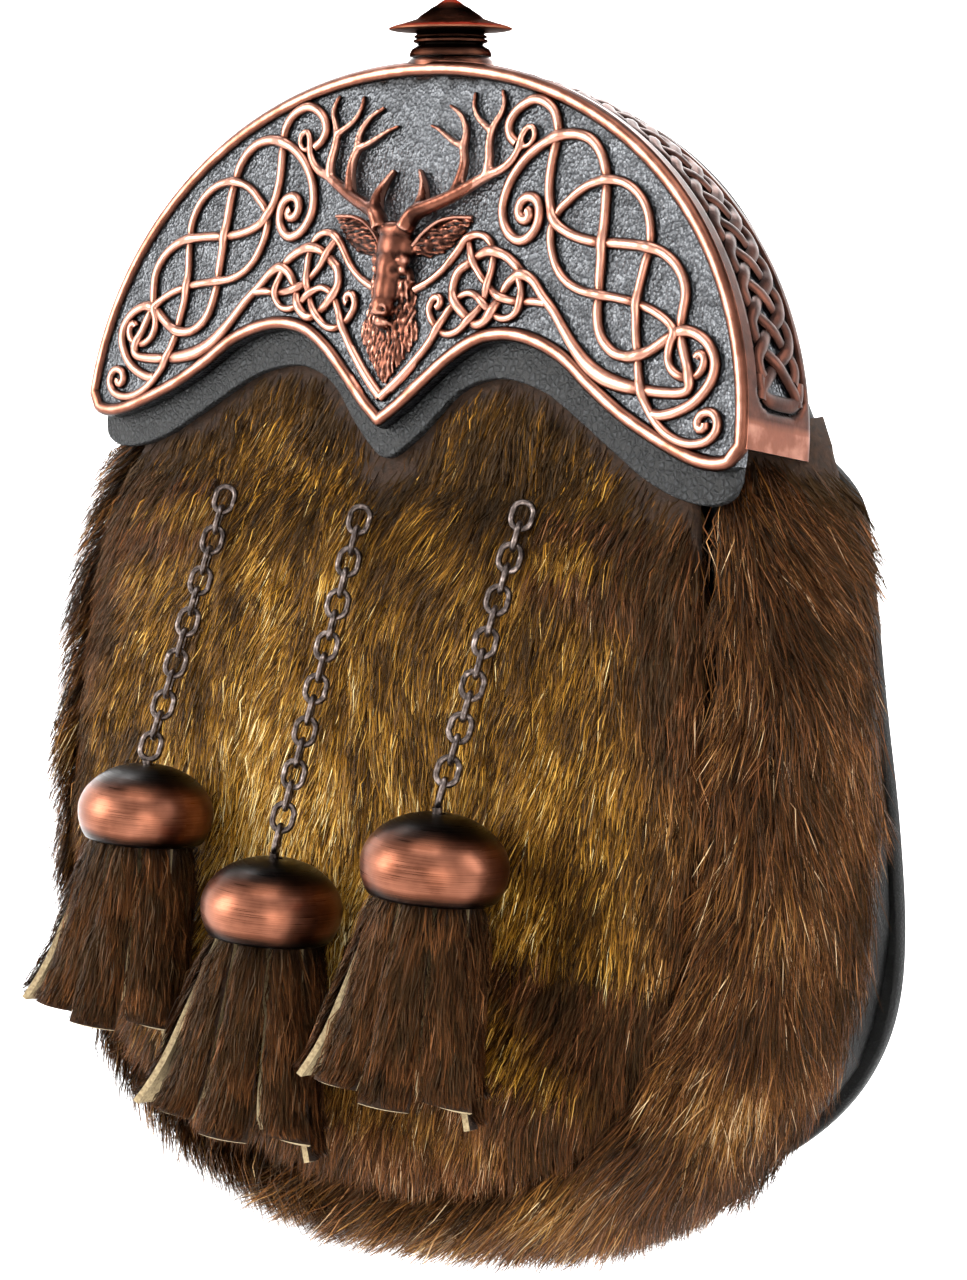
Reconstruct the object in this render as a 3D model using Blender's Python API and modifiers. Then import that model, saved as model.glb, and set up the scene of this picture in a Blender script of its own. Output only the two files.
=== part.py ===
"""A dress sporran pouch: a cast antique-copper cantle with a stag's head, a fur pouch and three tassels on chains.

Metres, +Z up, +X to the viewer's right, front towards -Y. The origin is the middle of the strap loop behind the
back panel, where the wearer's belt strap runs through. Everything is at rest, as it hangs.
"""

import math

import bmesh
import bpy
from mathutils import Matrix, Vector

# Fits
CLEAR = 0.0003

# Cantle: the cast arch over the pouch's mouth
CANTLE_WIDTH = 0.165
CANTLE_HEIGHT = 0.0668
CANTLE_LEAN_DEG = 11.3
ARCH_SQUARENESS = 2.05
ARCH_DROP = 0.002
FACE_PLATE = 0.0034
BAND_WALL = 0.0020
BAND_DEPTH_TIP = 0.0200
BAND_DEPTH_TOP = 0.0162
RIM_WIDTH = 0.0028
RIM_HEIGHT = 0.0012
RIM_SHOULDER = 0.0005

# Relief on the face and the band
STRAND_WIDTH = 0.0020
STRAND_SINK = 0.00015
STRAND_TAPER = 0.25
STRAND_WEAVE = 0.07
KNOT_STRAND_WIDTH = 0.0015
BAND_STRAND_WIDTH = 0.0022
BAND_STRAND_SINK = 0.0002
BAND_WAVE_PITCH = 0.0185
BAND_WAVE_SWING = 0.25
ANTLER_WIDTH = 0.0030
HEAD_RISE = 0.0052

# Clasp knob: turned, on a post through the top of the band
KNOB_FLANGE_RADIUS = 0.0114
KNOB_HEIGHT = 0.01045
KNOB_FOOT_RADIUS = 0.0077
KNOB_POST_RADIUS = 0.0025
KNOB_BORE_RADIUS = 0.0030
KNOB_WASHER_RADIUS = 0.0045
KNOB_WASHER_THICKNESS = 0.0012
KNOB_SEAT_RISE = 0.0006
KNOB_BOSS_DEPTH = 0.0060

# Leather flap below the cantle's edge
FLAP_THICKNESS = 0.0019
FLAP_SHOWS = 0.0056
FLAP_TUCK = 0.0060

# Back panel and strap loop
BACK_THICKNESS = 0.0030
BACK_HALF_WIDTH = 0.0965
POUCH_DROP = 0.1525
BACK_TOP_MARGIN = 0.0010
BACK_TIP_MARGIN = 0.0100
STRAP_GAP = 0.0060
STRAP_LOOP_WIDTH = 0.060
STRAP_LOOP_OPENING = 0.032
STRAP_LOOP_TAB = 0.010
STRAP_LOOP_THICKNESS = 0.0024
LOOP_ABOVE_TIPS = 0.010

# Front panel of short fur, gusset of leather, border of long fur
PANEL_HALF_WIDTH = 0.079
PANEL_THICKNESS = 0.0030
BELLY = 0.026
GUSSET_THICKNESS = 0.0020
GUSSET_BULGE = 0.0050
BORDER_BACKING = 0.0016
LOCK_LENGTH = 0.0070
LOCK_FAN = 0.22
LOCK_DROOP = 0.55
BORDER_START = 2

# Chains, bells and tassels
LINK_WIDTH = 0.0054
LINK_PITCH = 0.0040
LINK_WIRE = 0.00105
LINK_BITE = 0.00012
STEM_RADIUS = 0.0009
STEM_DISC_RADIUS = 0.0022
STEM_DISC_THICKNESS = 0.0009
BELL_RADIUS = 0.0129
BELL_HEIGHT = 0.0143
BELL_WALL = 0.0011
BELL_HOLE_RADIUS = 0.0013
BELL_LEAN_DEG = 8.0
BELL_WIDEST = 0.4
TASSEL_LENGTH = 0.0350
TASSEL_HALF_DEPTH = 0.0118
TASSEL_LEAN_DEG = 16.0
TASSEL_STRIPS = 9
TASSEL_WAVER = 0.06

# Facets
ARCH_SEGMENTS = 24
GUSSET_STATIONS = 18
PANEL_COLUMNS = 6
LINK_SEGMENTS = 10
WIRE_SIDES = 5
TURN_STEPS = 12
STEM_SIDES = 8

# Lower edge of the cantle from tip to middle: share of half the width, share of the height
EDGE_ROWS = (
    (0.984, -0.028),
    (0.933, -0.045),
    (0.865, -0.036),
    (0.765, 0.008),
    (0.667, 0.063),
    (0.580, 0.127),
    (0.500, 0.193),
    (0.420, 0.232),
    (0.345, 0.246),
    (0.270, 0.232),
    (0.200, 0.185),
    (0.130, 0.115),
    (0.065, 0.045),
    (0.000, -0.012),
)

# Front panel by level: share of the pouch's drop, of the panel's half width, of the belly in the middle, at the edge
PANEL_ROWS = (
    (0.060, 0.890, -0.16, -0.16),
    (0.110, 0.925, 0.06, -0.04),
    (0.197, 0.955, 0.19, 0.04),
    (0.393, 1.000, 0.38, 0.20),
    (0.551, 0.985, 0.52, 0.33),
    (0.689, 0.915, 0.80, 0.48),
    (0.774, 0.770, 0.95, 0.62),
    (0.826, 0.560, 1.00, 0.76),
    (0.852, 0.300, 0.98, 0.90),
)

# Part of the front panel behind the cantle: share of the pouch's drop, share of the panel's half width
PANEL_TOP_ROWS = (
    (-0.092, 0.810),
    (0.000, 0.860),
)

# Back panel below the tips: share of the pouch's drop, share of the panel's half width
BACK_ROWS = (
    (-0.092, 0.745),
    (0.000, 0.768),
    (0.060, 0.880),
    (0.145, 0.912),
    (0.295, 0.947),
    (0.430, 0.981),
    (0.560, 1.000),
    (0.655, 0.988),
    (0.735, 0.940),
    (0.805, 0.860),
    (0.870, 0.745),
    (0.925, 0.600),
    (0.965, 0.430),
    (0.990, 0.220),
)

# Chains: name, share of the panel's half width, share of the drop at the top and at the bell, tassel's half width
CHAIN_ROWS = (
    ("left", -0.473, 0.1085, 0.431, 0.0185),
    ("middle", 0.000, 0.1120, 0.503, 0.0215),
    ("right", 0.473, 0.0875, 0.410, 0.0185),
)

# Knob profile from the apex down to the foot: share of the flange's radius, share of the height
KNOB_ROWS = (
    (0.000, 1.000),
    (0.120, 0.975),
    (0.335, 0.833),
    (0.540, 0.640),
    (0.980, 0.502),
    (1.000, 0.478),
    (0.980, 0.455),
    (0.588, 0.412),
    (0.570, 0.340),
    (0.596, 0.300),
    (0.518, 0.210),
    (0.676, 0.000),
)

# Bell profile from the hole down to the mouth: share of the radius, share of the height
BELL_ROWS = (
    (0.430, 0.980),
    (0.745, 0.870),
    (0.940, 0.640),
    (1.000, 0.320),
    (0.890, 0.000),
)

# Tassel head inside its bell: share of the room there, share of the mouth's radius
TASSEL_HEAD_ROWS = (
    (0.96, 0.42),
    (0.62, 0.78),
    (0.00, 1.00),
)

# Tassel below its bell: share of the length, of its half width, depth of the groove between strips
TASSEL_ROWS = (
    (0.40, 0.76, 0.90),
    (1.00, 1.00, 0.80),
)

# Stag's head from the crown to the muzzle: share of the cantle's height, half width and rise as shares of its rise
HEAD_ROWS = (
    (0.545, 0.75, 0.42),
    (0.480, 1.08, 0.72),
    (0.400, 0.86, 0.82),
    (0.320, 0.66, 1.00),
    (0.262, 0.58, 0.92),
    (0.240, 0.38, 0.50),
)

# Chest hair, and the ear to the right: share of half the width, of the height, of half the leaf's height
CHEST_ROWS = (
    (0.082, 0.42),
    (0.096, 0.30),
    (0.070, 0.19),
    (0.012, 0.085),
)
EAR_ROWS = (
    (0.060, 0.500, 0.030),
    (0.125, 0.530, 0.060),
    (0.208, 0.568, 0.012),
)

# Antlers on the right half: share of the antler's width at the root and the tip, then points on the face
ANTLER_ROWS = (
    (1.00, 0.60, ((0.035, 0.53), (0.080, 0.60), (0.155, 0.655), (0.225, 0.70), (0.275, 0.765), (0.300, 0.83))),
    (0.80, 0.35, ((0.068, 0.59), (0.048, 0.65), (0.040, 0.71))),
    (0.75, 0.45, ((0.160, 0.658), (0.150, 0.74), (0.145, 0.82), (0.105, 0.885))),
    (0.55, 0.35, ((0.146, 0.80), (0.100, 0.822), (0.058, 0.83))),
    (0.70, 0.45, ((0.245, 0.722), (0.216, 0.79), (0.210, 0.86), (0.245, 0.915))),
    (0.55, 0.35, ((0.211, 0.84), (0.184, 0.88), (0.172, 0.925))),
)

# Sweeping strands and their spiral ends on the right half: points on the face
SWEEP_ROWS = (
    ((0.302, 0.84), (0.345, 0.89), (0.395, 0.865), (0.385, 0.80), (0.345, 0.80)),
    ((0.480, 0.79), (0.400, 0.71), (0.335, 0.61), (0.345, 0.535), (0.395, 0.545), (0.388, 0.60)),
    ((0.425, 0.40), (0.520, 0.305), (0.610, 0.200), (0.720, 0.130), (0.840, 0.135)),
    ((0.720, 0.170), (0.765, 0.065), (0.850, 0.020), (0.915, 0.045), (0.900, 0.105)),
    ((0.085, 0.315), (0.160, 0.370), (0.215, 0.475), (0.265, 0.500)),
    ((0.030, 0.090), (0.085, 0.165), (0.150, 0.245), (0.205, 0.290)),
)

# Interlaced knots on the right half: middle on the face, half length, half width, slope in degrees, points
KNOT_ROWS = (
    (0.625, 0.455, 0.290, 0.135, -50.0, 22),
    (0.305, 0.372, 0.120, 0.068, -38.0, 13),
)

LEAN = math.radians(CANTLE_LEAN_DEG)
HALF_CANTLE = CANTLE_WIDTH / 2
BACK_REAR_Y = -STRAP_GAP / 2
BACK_FRONT_Y = BACK_REAR_Y - BACK_THICKNESS

# The cantle's own frame: x to the right, y up its face from the tips, z out of its face
FOOT = Vector(
    (
        0,
        BACK_FRONT_Y - CLEAR - CANTLE_HEIGHT * math.sin(LEAN) - BAND_DEPTH_TOP * math.cos(LEAN),
        -LOOP_ABOVE_TIPS,
    )
)
FACE_FRAME = Matrix.Translation(FOOT) @ Matrix.Rotation(math.pi / 2 - LEAN, 4, "X")


def start_scene():
    for obj in list(bpy.data.objects):
        bpy.data.objects.remove(obj, do_unlink=True)
    found = []
    for name in ("sporran", "cutters"):
        collection = bpy.data.collections.new(name)
        bpy.context.scene.collection.children.link(collection)
        found.append(collection)
    return found


def linear(colour):
    """An sRGB hex colour as linear RGBA."""
    values = [int(colour[i : i + 2], 16) / 255 for i in (1, 3, 5)]
    return [v / 12.92 if v <= 0.04045 else ((v + 0.055) / 1.055) ** 2.4 for v in values] + [1.0]


def make_material(name, colour, roughness, metallic):
    material = bpy.data.materials.new(name)
    material.use_nodes = True
    shader = material.node_tree.nodes["Principled BSDF"]
    shader.inputs["Base Color"].default_value = linear(colour)
    shader.inputs["Roughness"].default_value = roughness
    shader.inputs["Metallic"].default_value = metallic
    return material


def place_object(name, data, material, collection, matrix=Matrix()):
    if material:
        data.materials.append(material)
    obj = bpy.data.objects.new(name, data)
    obj.matrix_world = matrix
    collection.objects.link(obj)
    return obj


def add_piece(name, bm, material, collection, matrix=Matrix()):
    """Makes an object of a bmesh whose doubles are merged and whose faces are turned outwards."""
    bmesh.ops.remove_doubles(bm, verts=bm.verts, dist=1e-7)
    bmesh.ops.recalc_face_normals(bm, faces=bm.faces)
    mesh = bpy.data.meshes.new(name)
    bm.to_mesh(mesh)
    bm.free()
    mesh.shade_smooth()
    mesh.set_sharp_from_angle(angle=math.radians(35))
    return place_object(name, mesh, material, collection, matrix)


def as_cutter(obj):
    obj.hide_render = True
    obj.display_type = "WIRE"
    return obj


def boolean(obj, other, operation, crossing=False):
    modifier = obj.modifiers.new(other.name, "BOOLEAN")
    modifier.operation = operation
    modifier.object = other
    modifier.use_self = crossing


def curve_mesh(obj):
    """A new mesh of a curve object, with its caps welded. The curve object is removed."""
    bpy.context.view_layer.update()
    found = obj.evaluated_get(bpy.context.evaluated_depsgraph_get())
    mesh = bpy.data.meshes.new_from_object(found)
    bpy.data.objects.remove(obj, do_unlink=True)
    bm = bmesh.new()
    bm.from_mesh(mesh)
    bpy.data.meshes.remove(mesh)
    return bm


def flat_plate(name, outline, thickness, material, matrix):
    """A closed flat outline made a plate, half its thickness to each side of the frame's plane."""
    curve = bpy.data.curves.new(name, "CURVE")
    curve.dimensions = "2D"
    curve.fill_mode = "BOTH"
    curve.extrude = thickness / 2
    spline = curve.splines.new("POLY")
    spline.points.add(len(outline) - 1)
    for point, (x, y) in zip(spline.points, outline):
        point.co = (x, y, 0, 1)
    spline.use_cyclic_u = True
    return place_object(name, curve, material, PIECES, matrix)


def turned(name, profile, steps, material, collection, matrix):
    """A profile of (radius, height) points, listed down its outer side, turned about the Z axis."""
    bm = bmesh.new()
    points = [bm.verts.new((radius, 0, height)) for radius, height in profile]
    for a, b in zip(points, points[1:]):
        bm.edges.new((a, b))
    if profile[0][0] > 0 and profile[-1][0] > 0:
        bm.edges.new((points[-1], points[0]))
    mesh = bpy.data.meshes.new(name)
    bm.to_mesh(mesh)
    bm.free()
    obj = place_object(name, mesh, material, collection, matrix)
    screw = obj.modifiers.new("turned", "SCREW")
    screw.steps = steps
    screw.render_steps = steps
    screw.use_merge_vertices = True
    screw.merge_threshold = 1e-6
    screw.use_smooth_shade = True
    return obj


def loft(bm, rings, around=True, caps=True):
    """Skins a row of rings of points. A ring closes on itself when around is true."""
    rows = [[bm.verts.new(point) for point in ring] for ring in rings]
    count = len(rows[0])
    for low, high in zip(rows, rows[1:]):
        for i in range(count if around else count - 1):
            j = (i + 1) % count
            bm.faces.new((low[i], low[j], high[j], high[i]))
    if caps:
        bm.faces.new(list(reversed(rows[0])))
        bm.faces.new(rows[-1])
    return rows


def sheet(name, grid, thickness, material):
    """A wall behind a grid of points. The grid's face turns towards its front, which stays where it is."""
    bm = bmesh.new()
    loft(bm, grid, around=False, caps=False)
    mesh = bpy.data.meshes.new(name)
    bm.to_mesh(mesh)
    bm.free()
    mesh.shade_smooth()
    obj = place_object(name, mesh, material, PIECES)
    solidify = obj.modifiers.new("wall", "SOLIDIFY")
    solidify.thickness = thickness
    solidify.offset = -1
    solidify.use_even_offset = True
    return obj


def smooth_line(points, per_span):
    """Points along a Catmull-Rom curve through the given points."""
    points = [Vector(p) for p in points]
    line = [points[0] * 2 - points[1]] + points + [points[-1] * 2 - points[-2]]
    found = []
    for a, b, c, d in zip(line, line[1:], line[2:], line[3:]):
        for k in range(per_span):
            t = k / per_span
            found.append(
                (b * 2 + (c - a) * t + (a * 2 - b * 5 + c * 4 - d) * t**2 + (b * 3 - a - c * 3 + d) * t**3) / 2
            )
    return found + [points[-1]]


def resample(points, count):
    """Evenly spaced points along a polyline, its two ends included."""
    lengths = [0.0]
    for a, b in zip(points, points[1:]):
        lengths.append(lengths[-1] + (b - a).length)
    found = []
    k = 0
    for i in range(count):
        at = lengths[-1] * i / (count - 1)
        while k < len(points) - 2 and lengths[k + 1] < at:
            k += 1
        span = lengths[k + 1] - lengths[k]
        found.append(points[k].lerp(points[k + 1], min(1.0, (at - lengths[k]) / span)))
    return found


def between_rows(rows, at):
    """Linear reading of a table whose first column rises."""
    for low, high in zip(rows, rows[1:]):
        if at <= high[0]:
            break
    t = min(1.0, max(0.0, (at - low[0]) / (high[0] - low[0])))
    return [a + (b - a) * t for a, b in zip(low[1:], high[1:])]


def arch(margin=0.0, count=ARCH_SEGMENTS + 1):
    """The arch from just above the right tip over the top to the left tip, drawn in by a margin."""
    wide = HALF_CANTLE - margin
    tall = CANTLE_HEIGHT + ARCH_DROP - margin
    power = 2 / ARCH_SQUARENESS
    first = math.asin((1.6 * ARCH_DROP / tall) ** (1 / power))
    fine = []
    for i in range(count * 8):
        angle = first + (math.pi - 2 * first) * i / (count * 8 - 1)
        side = math.copysign(abs(math.cos(angle)) ** power, math.cos(angle))
        fine.append(Vector((wide * side, tall * math.sin(angle) ** power - ARCH_DROP)))
    return resample(fine, count)


def lower_edge():
    """The cantle's lower edge from the left tip to the right tip."""
    right = [Vector((u * HALF_CANTLE, v * CANTLE_HEIGHT)) for u, v in EDGE_ROWS]
    left = [Vector((-p.x, p.y)) for p in right]
    return left + right[-2::-1]


def drawn_in(outline, distance):
    """A closed outline moved inwards. It runs counter-clockwise, seen from the front."""
    found = []
    for i, here in enumerate(outline):
        before = (here - outline[i - 1]).normalized()
        after = (outline[(i + 1) % len(outline)] - here).normalized()
        middle = (before + after).normalized()
        inward = Vector((-middle.y, middle.x))
        widen = max(0.6, inward.dot(Vector((-before.y, before.x))))
        found.append(here + inward * distance / widen)
    return found


def band_depth(v):
    return BAND_DEPTH_TIP + (BAND_DEPTH_TOP - BAND_DEPTH_TIP) * max(0.0, v) / CANTLE_HEIGHT


def raised(points, z):
    return [Vector((p.x, p.y, z)) for p in points]


def on_half(pairs, sign):
    """Points given as shares of half the width and of the height, on the right or the left half."""
    return [Vector((sign * u * HALF_CANTLE, v * CANTLE_HEIGHT)) for u, v in pairs]


def add_strand(curve, line, widths, closed=False):
    """A strand of the relief: a tube of four sides, whose upper half stands out as a ridge."""
    spline = curve.splines.new("POLY")
    spline.points.add(len(line) - 1)
    for point, place, width in zip(spline.points, line, widths):
        point.co = (*place, 1)
        point.radius = width / 2
    spline.use_cyclic_u = closed


def strands(name):
    curve = bpy.data.curves.new(name, "CURVE")
    curve.dimensions = "3D"
    curve.twist_mode = "Z_UP"
    curve.bevel_depth = 1.0
    curve.bevel_resolution = 0
    curve.use_fill_caps = True
    return curve


def knot_line(row, sign):
    """A closed interlace: a figure with three lobes across for two along, turned on the face."""
    u, v, half_length, half_width, slope, count = row
    turn = math.radians(slope)
    line = []
    for i in range(count):
        angle = 2 * math.pi * i / count
        a = half_length * HALF_CANTLE * math.sin(2 * angle + math.pi / 4)
        b = half_width * HALF_CANTLE * math.sin(3 * angle)
        x = u * HALF_CANTLE + a * math.cos(turn) - b * math.sin(turn)
        y = v * CANTLE_HEIGHT + a * math.sin(turn) + b * math.cos(turn)
        line.append(Vector((sign * x, y)))
    return line


def face_strands():
    curve = strands("face_strands")
    floor = -RIM_HEIGHT - STRAND_SINK
    for sign in (-1, 1):
        for row, width in zip(KNOT_ROWS, (STRAND_WIDTH, KNOT_STRAND_WIDTH)):
            line = knot_line(row, sign)
            weave = [STRAND_WEAVE * width * math.cos(10 * math.pi * i / len(line)) for i in range(len(line))]
            line = [Vector((p.x, p.y, floor + lift)) for p, lift in zip(line, weave)]
            add_strand(curve, line, [width] * len(line), closed=True)
        for pairs in SWEEP_ROWS:
            line = raised(on_half(pairs, sign), floor)
            widths = [STRAND_WIDTH * (1.0 - STRAND_TAPER * i / len(line)) for i in range(len(line))]
            add_strand(curve, line, widths)
        for root, tip, pairs in ANTLER_ROWS:
            line = raised(on_half(pairs, sign), floor)
            last = len(line) - 1
            widths = [ANTLER_WIDTH * (root + (tip - root) * i / last) for i in range(len(line))]
            line = [Vector((p.x, p.y, p.z + width * 0.25)) for p, width in zip(line, widths)]
            add_strand(curve, line, widths)
    return curve


def band_strands():
    """Two strands that cross each other along the outside of the band, clear of the knob's seat."""
    line = arch(count=ARCH_SEGMENTS * 3 + 1)
    length = sum((b - a).length for a, b in zip(line, line[1:]))
    waves = round(length / BAND_WAVE_PITCH)
    knob = round(len(line) * (KNOB_FLANGE_RADIUS + BAND_STRAND_WIDTH) / length)
    middle = len(line) // 2
    curve = strands("band_strands")
    for phase in (0.0, math.pi):
        for stretch in (range(3, middle - knob, 4), range(middle + knob, len(line) - 3, 4)):
            points = []
            for k in stretch:
                along = (line[k + 1] - line[k - 1]).normalized()
                swing = math.sin(2 * math.pi * waves * k / (len(line) - 1) + phase)
                depth = band_depth(line[k].y) * (0.5 + BAND_WAVE_SWING * swing)
                sunk = line[k] - Vector((along.y, -along.x)) * BAND_STRAND_SINK * (1.0 + 0.1 * math.cos(phase))
                points.append(Vector((sunk.x, sunk.y, -depth)))
            add_strand(curve, points, [BAND_STRAND_WIDTH] * len(points))
    return curve


def stag_head(bm):
    """Half-round sections from the crown to the muzzle, the chest hair and two leaf-shaped ears."""
    floor = -RIM_HEIGHT - 4 * STRAND_SINK
    rings = []
    for v, half, rise in HEAD_ROWS:
        ring = []
        for k in range(7):
            angle = math.pi * k / 6
            x = half * HEAD_RISE * math.cos(angle)
            ring.append(Vector((x, v * CANTLE_HEIGHT, floor + rise * HEAD_RISE * math.sin(angle))))
        rings.append(ring)
    loft(bm, rings)
    rings = []
    for half, v in CHEST_ROWS:
        x = half * HALF_CANTLE
        y = v * CANTLE_HEIGHT
        rings.append((Vector((-x, y, floor)), Vector((0, y, floor + 0.4 * x + HEAD_RISE * 0.2)), Vector((x, y, floor))))
    loft(bm, rings)
    for sign in (-1, 1):
        rings = []
        for along, v, half in EAR_ROWS:
            x = sign * along * HALF_CANTLE
            low = Vector((x, (v - half) * CANTLE_HEIGHT, floor))
            high = Vector((x, (v + half) * CANTLE_HEIGHT, floor))
            top = Vector((x, v * CANTLE_HEIGHT, -RIM_HEIGHT + STRAND_WIDTH * 0.35))
            rings.append((low, top, high))
        loft(bm, rings)


def knob_seat():
    """The knob's vertical axis, with z at the flat seat on top of the band."""
    front = FACE_FRAME @ Vector((0, CANTLE_HEIGHT, 0))
    rear = FACE_FRAME @ Vector((0, CANTLE_HEIGHT, -BAND_DEPTH_TOP))
    return Vector((0, (front.y + rear.y) / 2, front.z + KNOB_SEAT_RISE))


def cylinder(name, radius, low, high, centre):
    bm = bmesh.new()
    place = Matrix.Translation((centre.x, centre.y, (low + high) / 2))
    bmesh.ops.create_cone(
        bm, cap_ends=True, segments=TURN_STEPS, radius1=radius, radius2=radius, depth=high - low, matrix=place
    )
    return as_cutter(add_piece(name, bm, None, CUTTERS))


def make_cantle(material):
    outline = arch() + lower_edge()
    crest = drawn_in(outline, RIM_WIDTH / 2)
    floor = drawn_in(outline, RIM_WIDTH)
    inner = drawn_in(outline, BAND_WALL)
    rear = [-band_depth(p.y) if i <= ARCH_SEGMENTS else -FACE_PLATE for i, p in enumerate(outline)]
    rings = (
        raised(floor, -RIM_HEIGHT),
        raised(crest, 0),
        raised(outline, -RIM_SHOULDER),
        [Vector((p.x, p.y, z)) for p, z in zip(outline, rear)],
        [Vector((p.x, p.y, z)) for p, z in zip(inner, rear)],
        raised(inner, -FACE_PLATE),
    )
    bm = bmesh.new()
    loft(bm, rings)
    cantle = add_piece("cantle", bm, material, PIECES, FACE_FRAME)

    seat = knob_seat()
    boss = cylinder("knob_boss", KNOB_FOOT_RADIUS, seat.z - KNOB_BOSS_DEPTH, seat.z, seat)
    boolean(cantle, boss, "UNION")
    bore = cylinder("knob_bore", KNOB_BORE_RADIUS, seat.z - KNOB_BOSS_DEPTH * 2, seat.z + KNOB_BOSS_DEPTH, seat)
    boolean(cantle, bore, "DIFFERENCE")
    for curve in (face_strands(), band_strands()):
        bm = curve_mesh(place_object(curve.name, curve, None, CUTTERS))
        relief = as_cutter(add_piece(curve.name + "_mesh", bm, None, CUTTERS, FACE_FRAME))
        boolean(cantle, relief, "UNION", crossing=True)
    bm = bmesh.new()
    stag_head(bm)
    boolean(cantle, as_cutter(add_piece("stag_head", bm, None, CUTTERS, FACE_FRAME)), "UNION", crossing=True)


def make_knob(material):
    seat = knob_seat() + Vector((0, 0, CLEAR))
    washer_top = -KNOB_BOSS_DEPTH - 2 * CLEAR
    profile = [(r * KNOB_FLANGE_RADIUS, z * KNOB_HEIGHT) for r, z in KNOB_ROWS]
    profile += [
        (KNOB_POST_RADIUS, 0),
        (KNOB_POST_RADIUS, washer_top),
        (KNOB_WASHER_RADIUS, washer_top),
        (KNOB_WASHER_RADIUS, washer_top - KNOB_WASHER_THICKNESS),
        (0, washer_top - KNOB_WASHER_THICKNESS),
    ]
    turned("clasp_knob", profile, TURN_STEPS, material, PIECES, Matrix.Translation(seat))


def make_flap(material):
    """Leather that follows the cantle's lower edge and shows below it."""
    edge = lower_edge()[2:-2]
    limit = HALF_CANTLE - BAND_WALL - 6 * CLEAR
    low, high = [], []
    for i, here in enumerate(edge):
        along = (edge[min(i + 1, len(edge) - 1)] - edge[max(i - 1, 0)]).normalized()
        down = Vector((along.y, -along.x))
        low.append(here + down * FLAP_SHOWS)
        high.append(here - down * FLAP_TUCK)
    low.insert(0, Vector((-limit, low[0].y + FLAP_TUCK * 0.4)))
    low.append(Vector((limit, low[-1].y + FLAP_TUCK * 0.4)))
    high[0].x = -limit
    high[-1].x = limit
    middle = FACE_FRAME @ Matrix.Translation((0, 0, -FACE_PLATE - CLEAR - FLAP_THICKNESS / 2))
    flat_plate("cantle_flap", low + high[::-1], FLAP_THICKNESS, material, middle)


def panel_level(drop):
    """The height of a share of the pouch's drop below the cantle's tips."""
    return FOOT.z - drop * POUCH_DROP


def behind_flap(z):
    """The front panel's face where it runs up behind the leather flap."""
    up = (z - FOOT.z) / math.cos(LEAN)
    depth = FACE_PLATE + FLAP_THICKNESS + 3 * CLEAR
    return (FACE_FRAME @ Vector((0, up, -depth))).y + CLEAR


def panel_front(x, z):
    """The front panel's outer face, as a y."""
    width, middle, edge = between_rows(PANEL_ROWS, (FOOT.z - z) / POUCH_DROP)
    across = min(1.0, abs(x) / (width * PANEL_HALF_WIDTH))
    return FOOT.y - BELLY * (edge + (middle - edge) * (1 - across**2))


def make_front_panel(material):
    grid = []
    for row in PANEL_TOP_ROWS + PANEL_ROWS:
        z = panel_level(row[0])
        line = []
        for k in range(PANEL_COLUMNS + 1):
            x = row[1] * PANEL_HALF_WIDTH * math.sin(math.pi / 2 * (1 - 2 * k / PANEL_COLUMNS))
            y = behind_flap(z) if row in PANEL_TOP_ROWS else panel_front(x, z)
            line.append(Vector((x, y, z)))
        grid.append(line)
    sheet("front_panel", grid, PANEL_THICKNESS, material)


def gusset_line(rows, half_width, y_of):
    """One edge of the gusset from the left end of the mouth, under the pouch, to the right end."""
    right = [Vector((row[1] * half_width, 0, panel_level(row[0]))) for row in rows]
    bottom = [Vector((0, 0, right[-1].z - (right[-2].z - right[-1].z) * 0.25))]
    left = [Vector((-p.x, 0, p.z)) for p in right]
    line = smooth_line(left + bottom + right[::-1], 6)
    for p in line:
        p.y = y_of(p)
    return resample(line, GUSSET_STATIONS * 2 + 1)


def gusset_edges():
    def front_y(p):
        if p.z > panel_level(PANEL_ROWS[0][0]):
            return behind_flap(p.z) + PANEL_THICKNESS + 2 * CLEAR
        return panel_front(p.x, p.z) + PANEL_THICKNESS + 2 * CLEAR

    front = gusset_line(PANEL_TOP_ROWS + PANEL_ROWS, PANEL_HALF_WIDTH, front_y)
    back = gusset_line(BACK_ROWS, BACK_HALF_WIDTH - 2 * CLEAR, lambda p: BACK_FRONT_Y - CLEAR)
    return front, back


def gusset_normals(back):
    found = []
    for i in range(len(back)):
        along = (back[min(i + 1, len(back) - 1)] - back[max(i - 1, 0)]).normalized()
        found.append(Vector((along.z, 0, -along.x)).normalized())
    return found


def gusset_grid(stations, shares, lift):
    """Points of the gusset's outer face, lifted outwards. Stations count half steps along its edges."""
    front, back = gusset_edges()
    normals = gusset_normals(back)
    grid = []
    for i in stations:
        row = []
        for t in shares:
            bulge = GUSSET_BULGE * 4 * t * (1 - t)
            row.append(front[i].lerp(back[i], t) + normals[i] * (bulge + lift))
        grid.append(row)
    return grid


def make_gusset(material):
    stations = range(0, GUSSET_STATIONS * 2 + 1, 2)
    sheet("gusset", gusset_grid(stations, (0.0, 0.3, 0.6, 0.9, 1.0), 0.0), GUSSET_THICKNESS, material)


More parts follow.
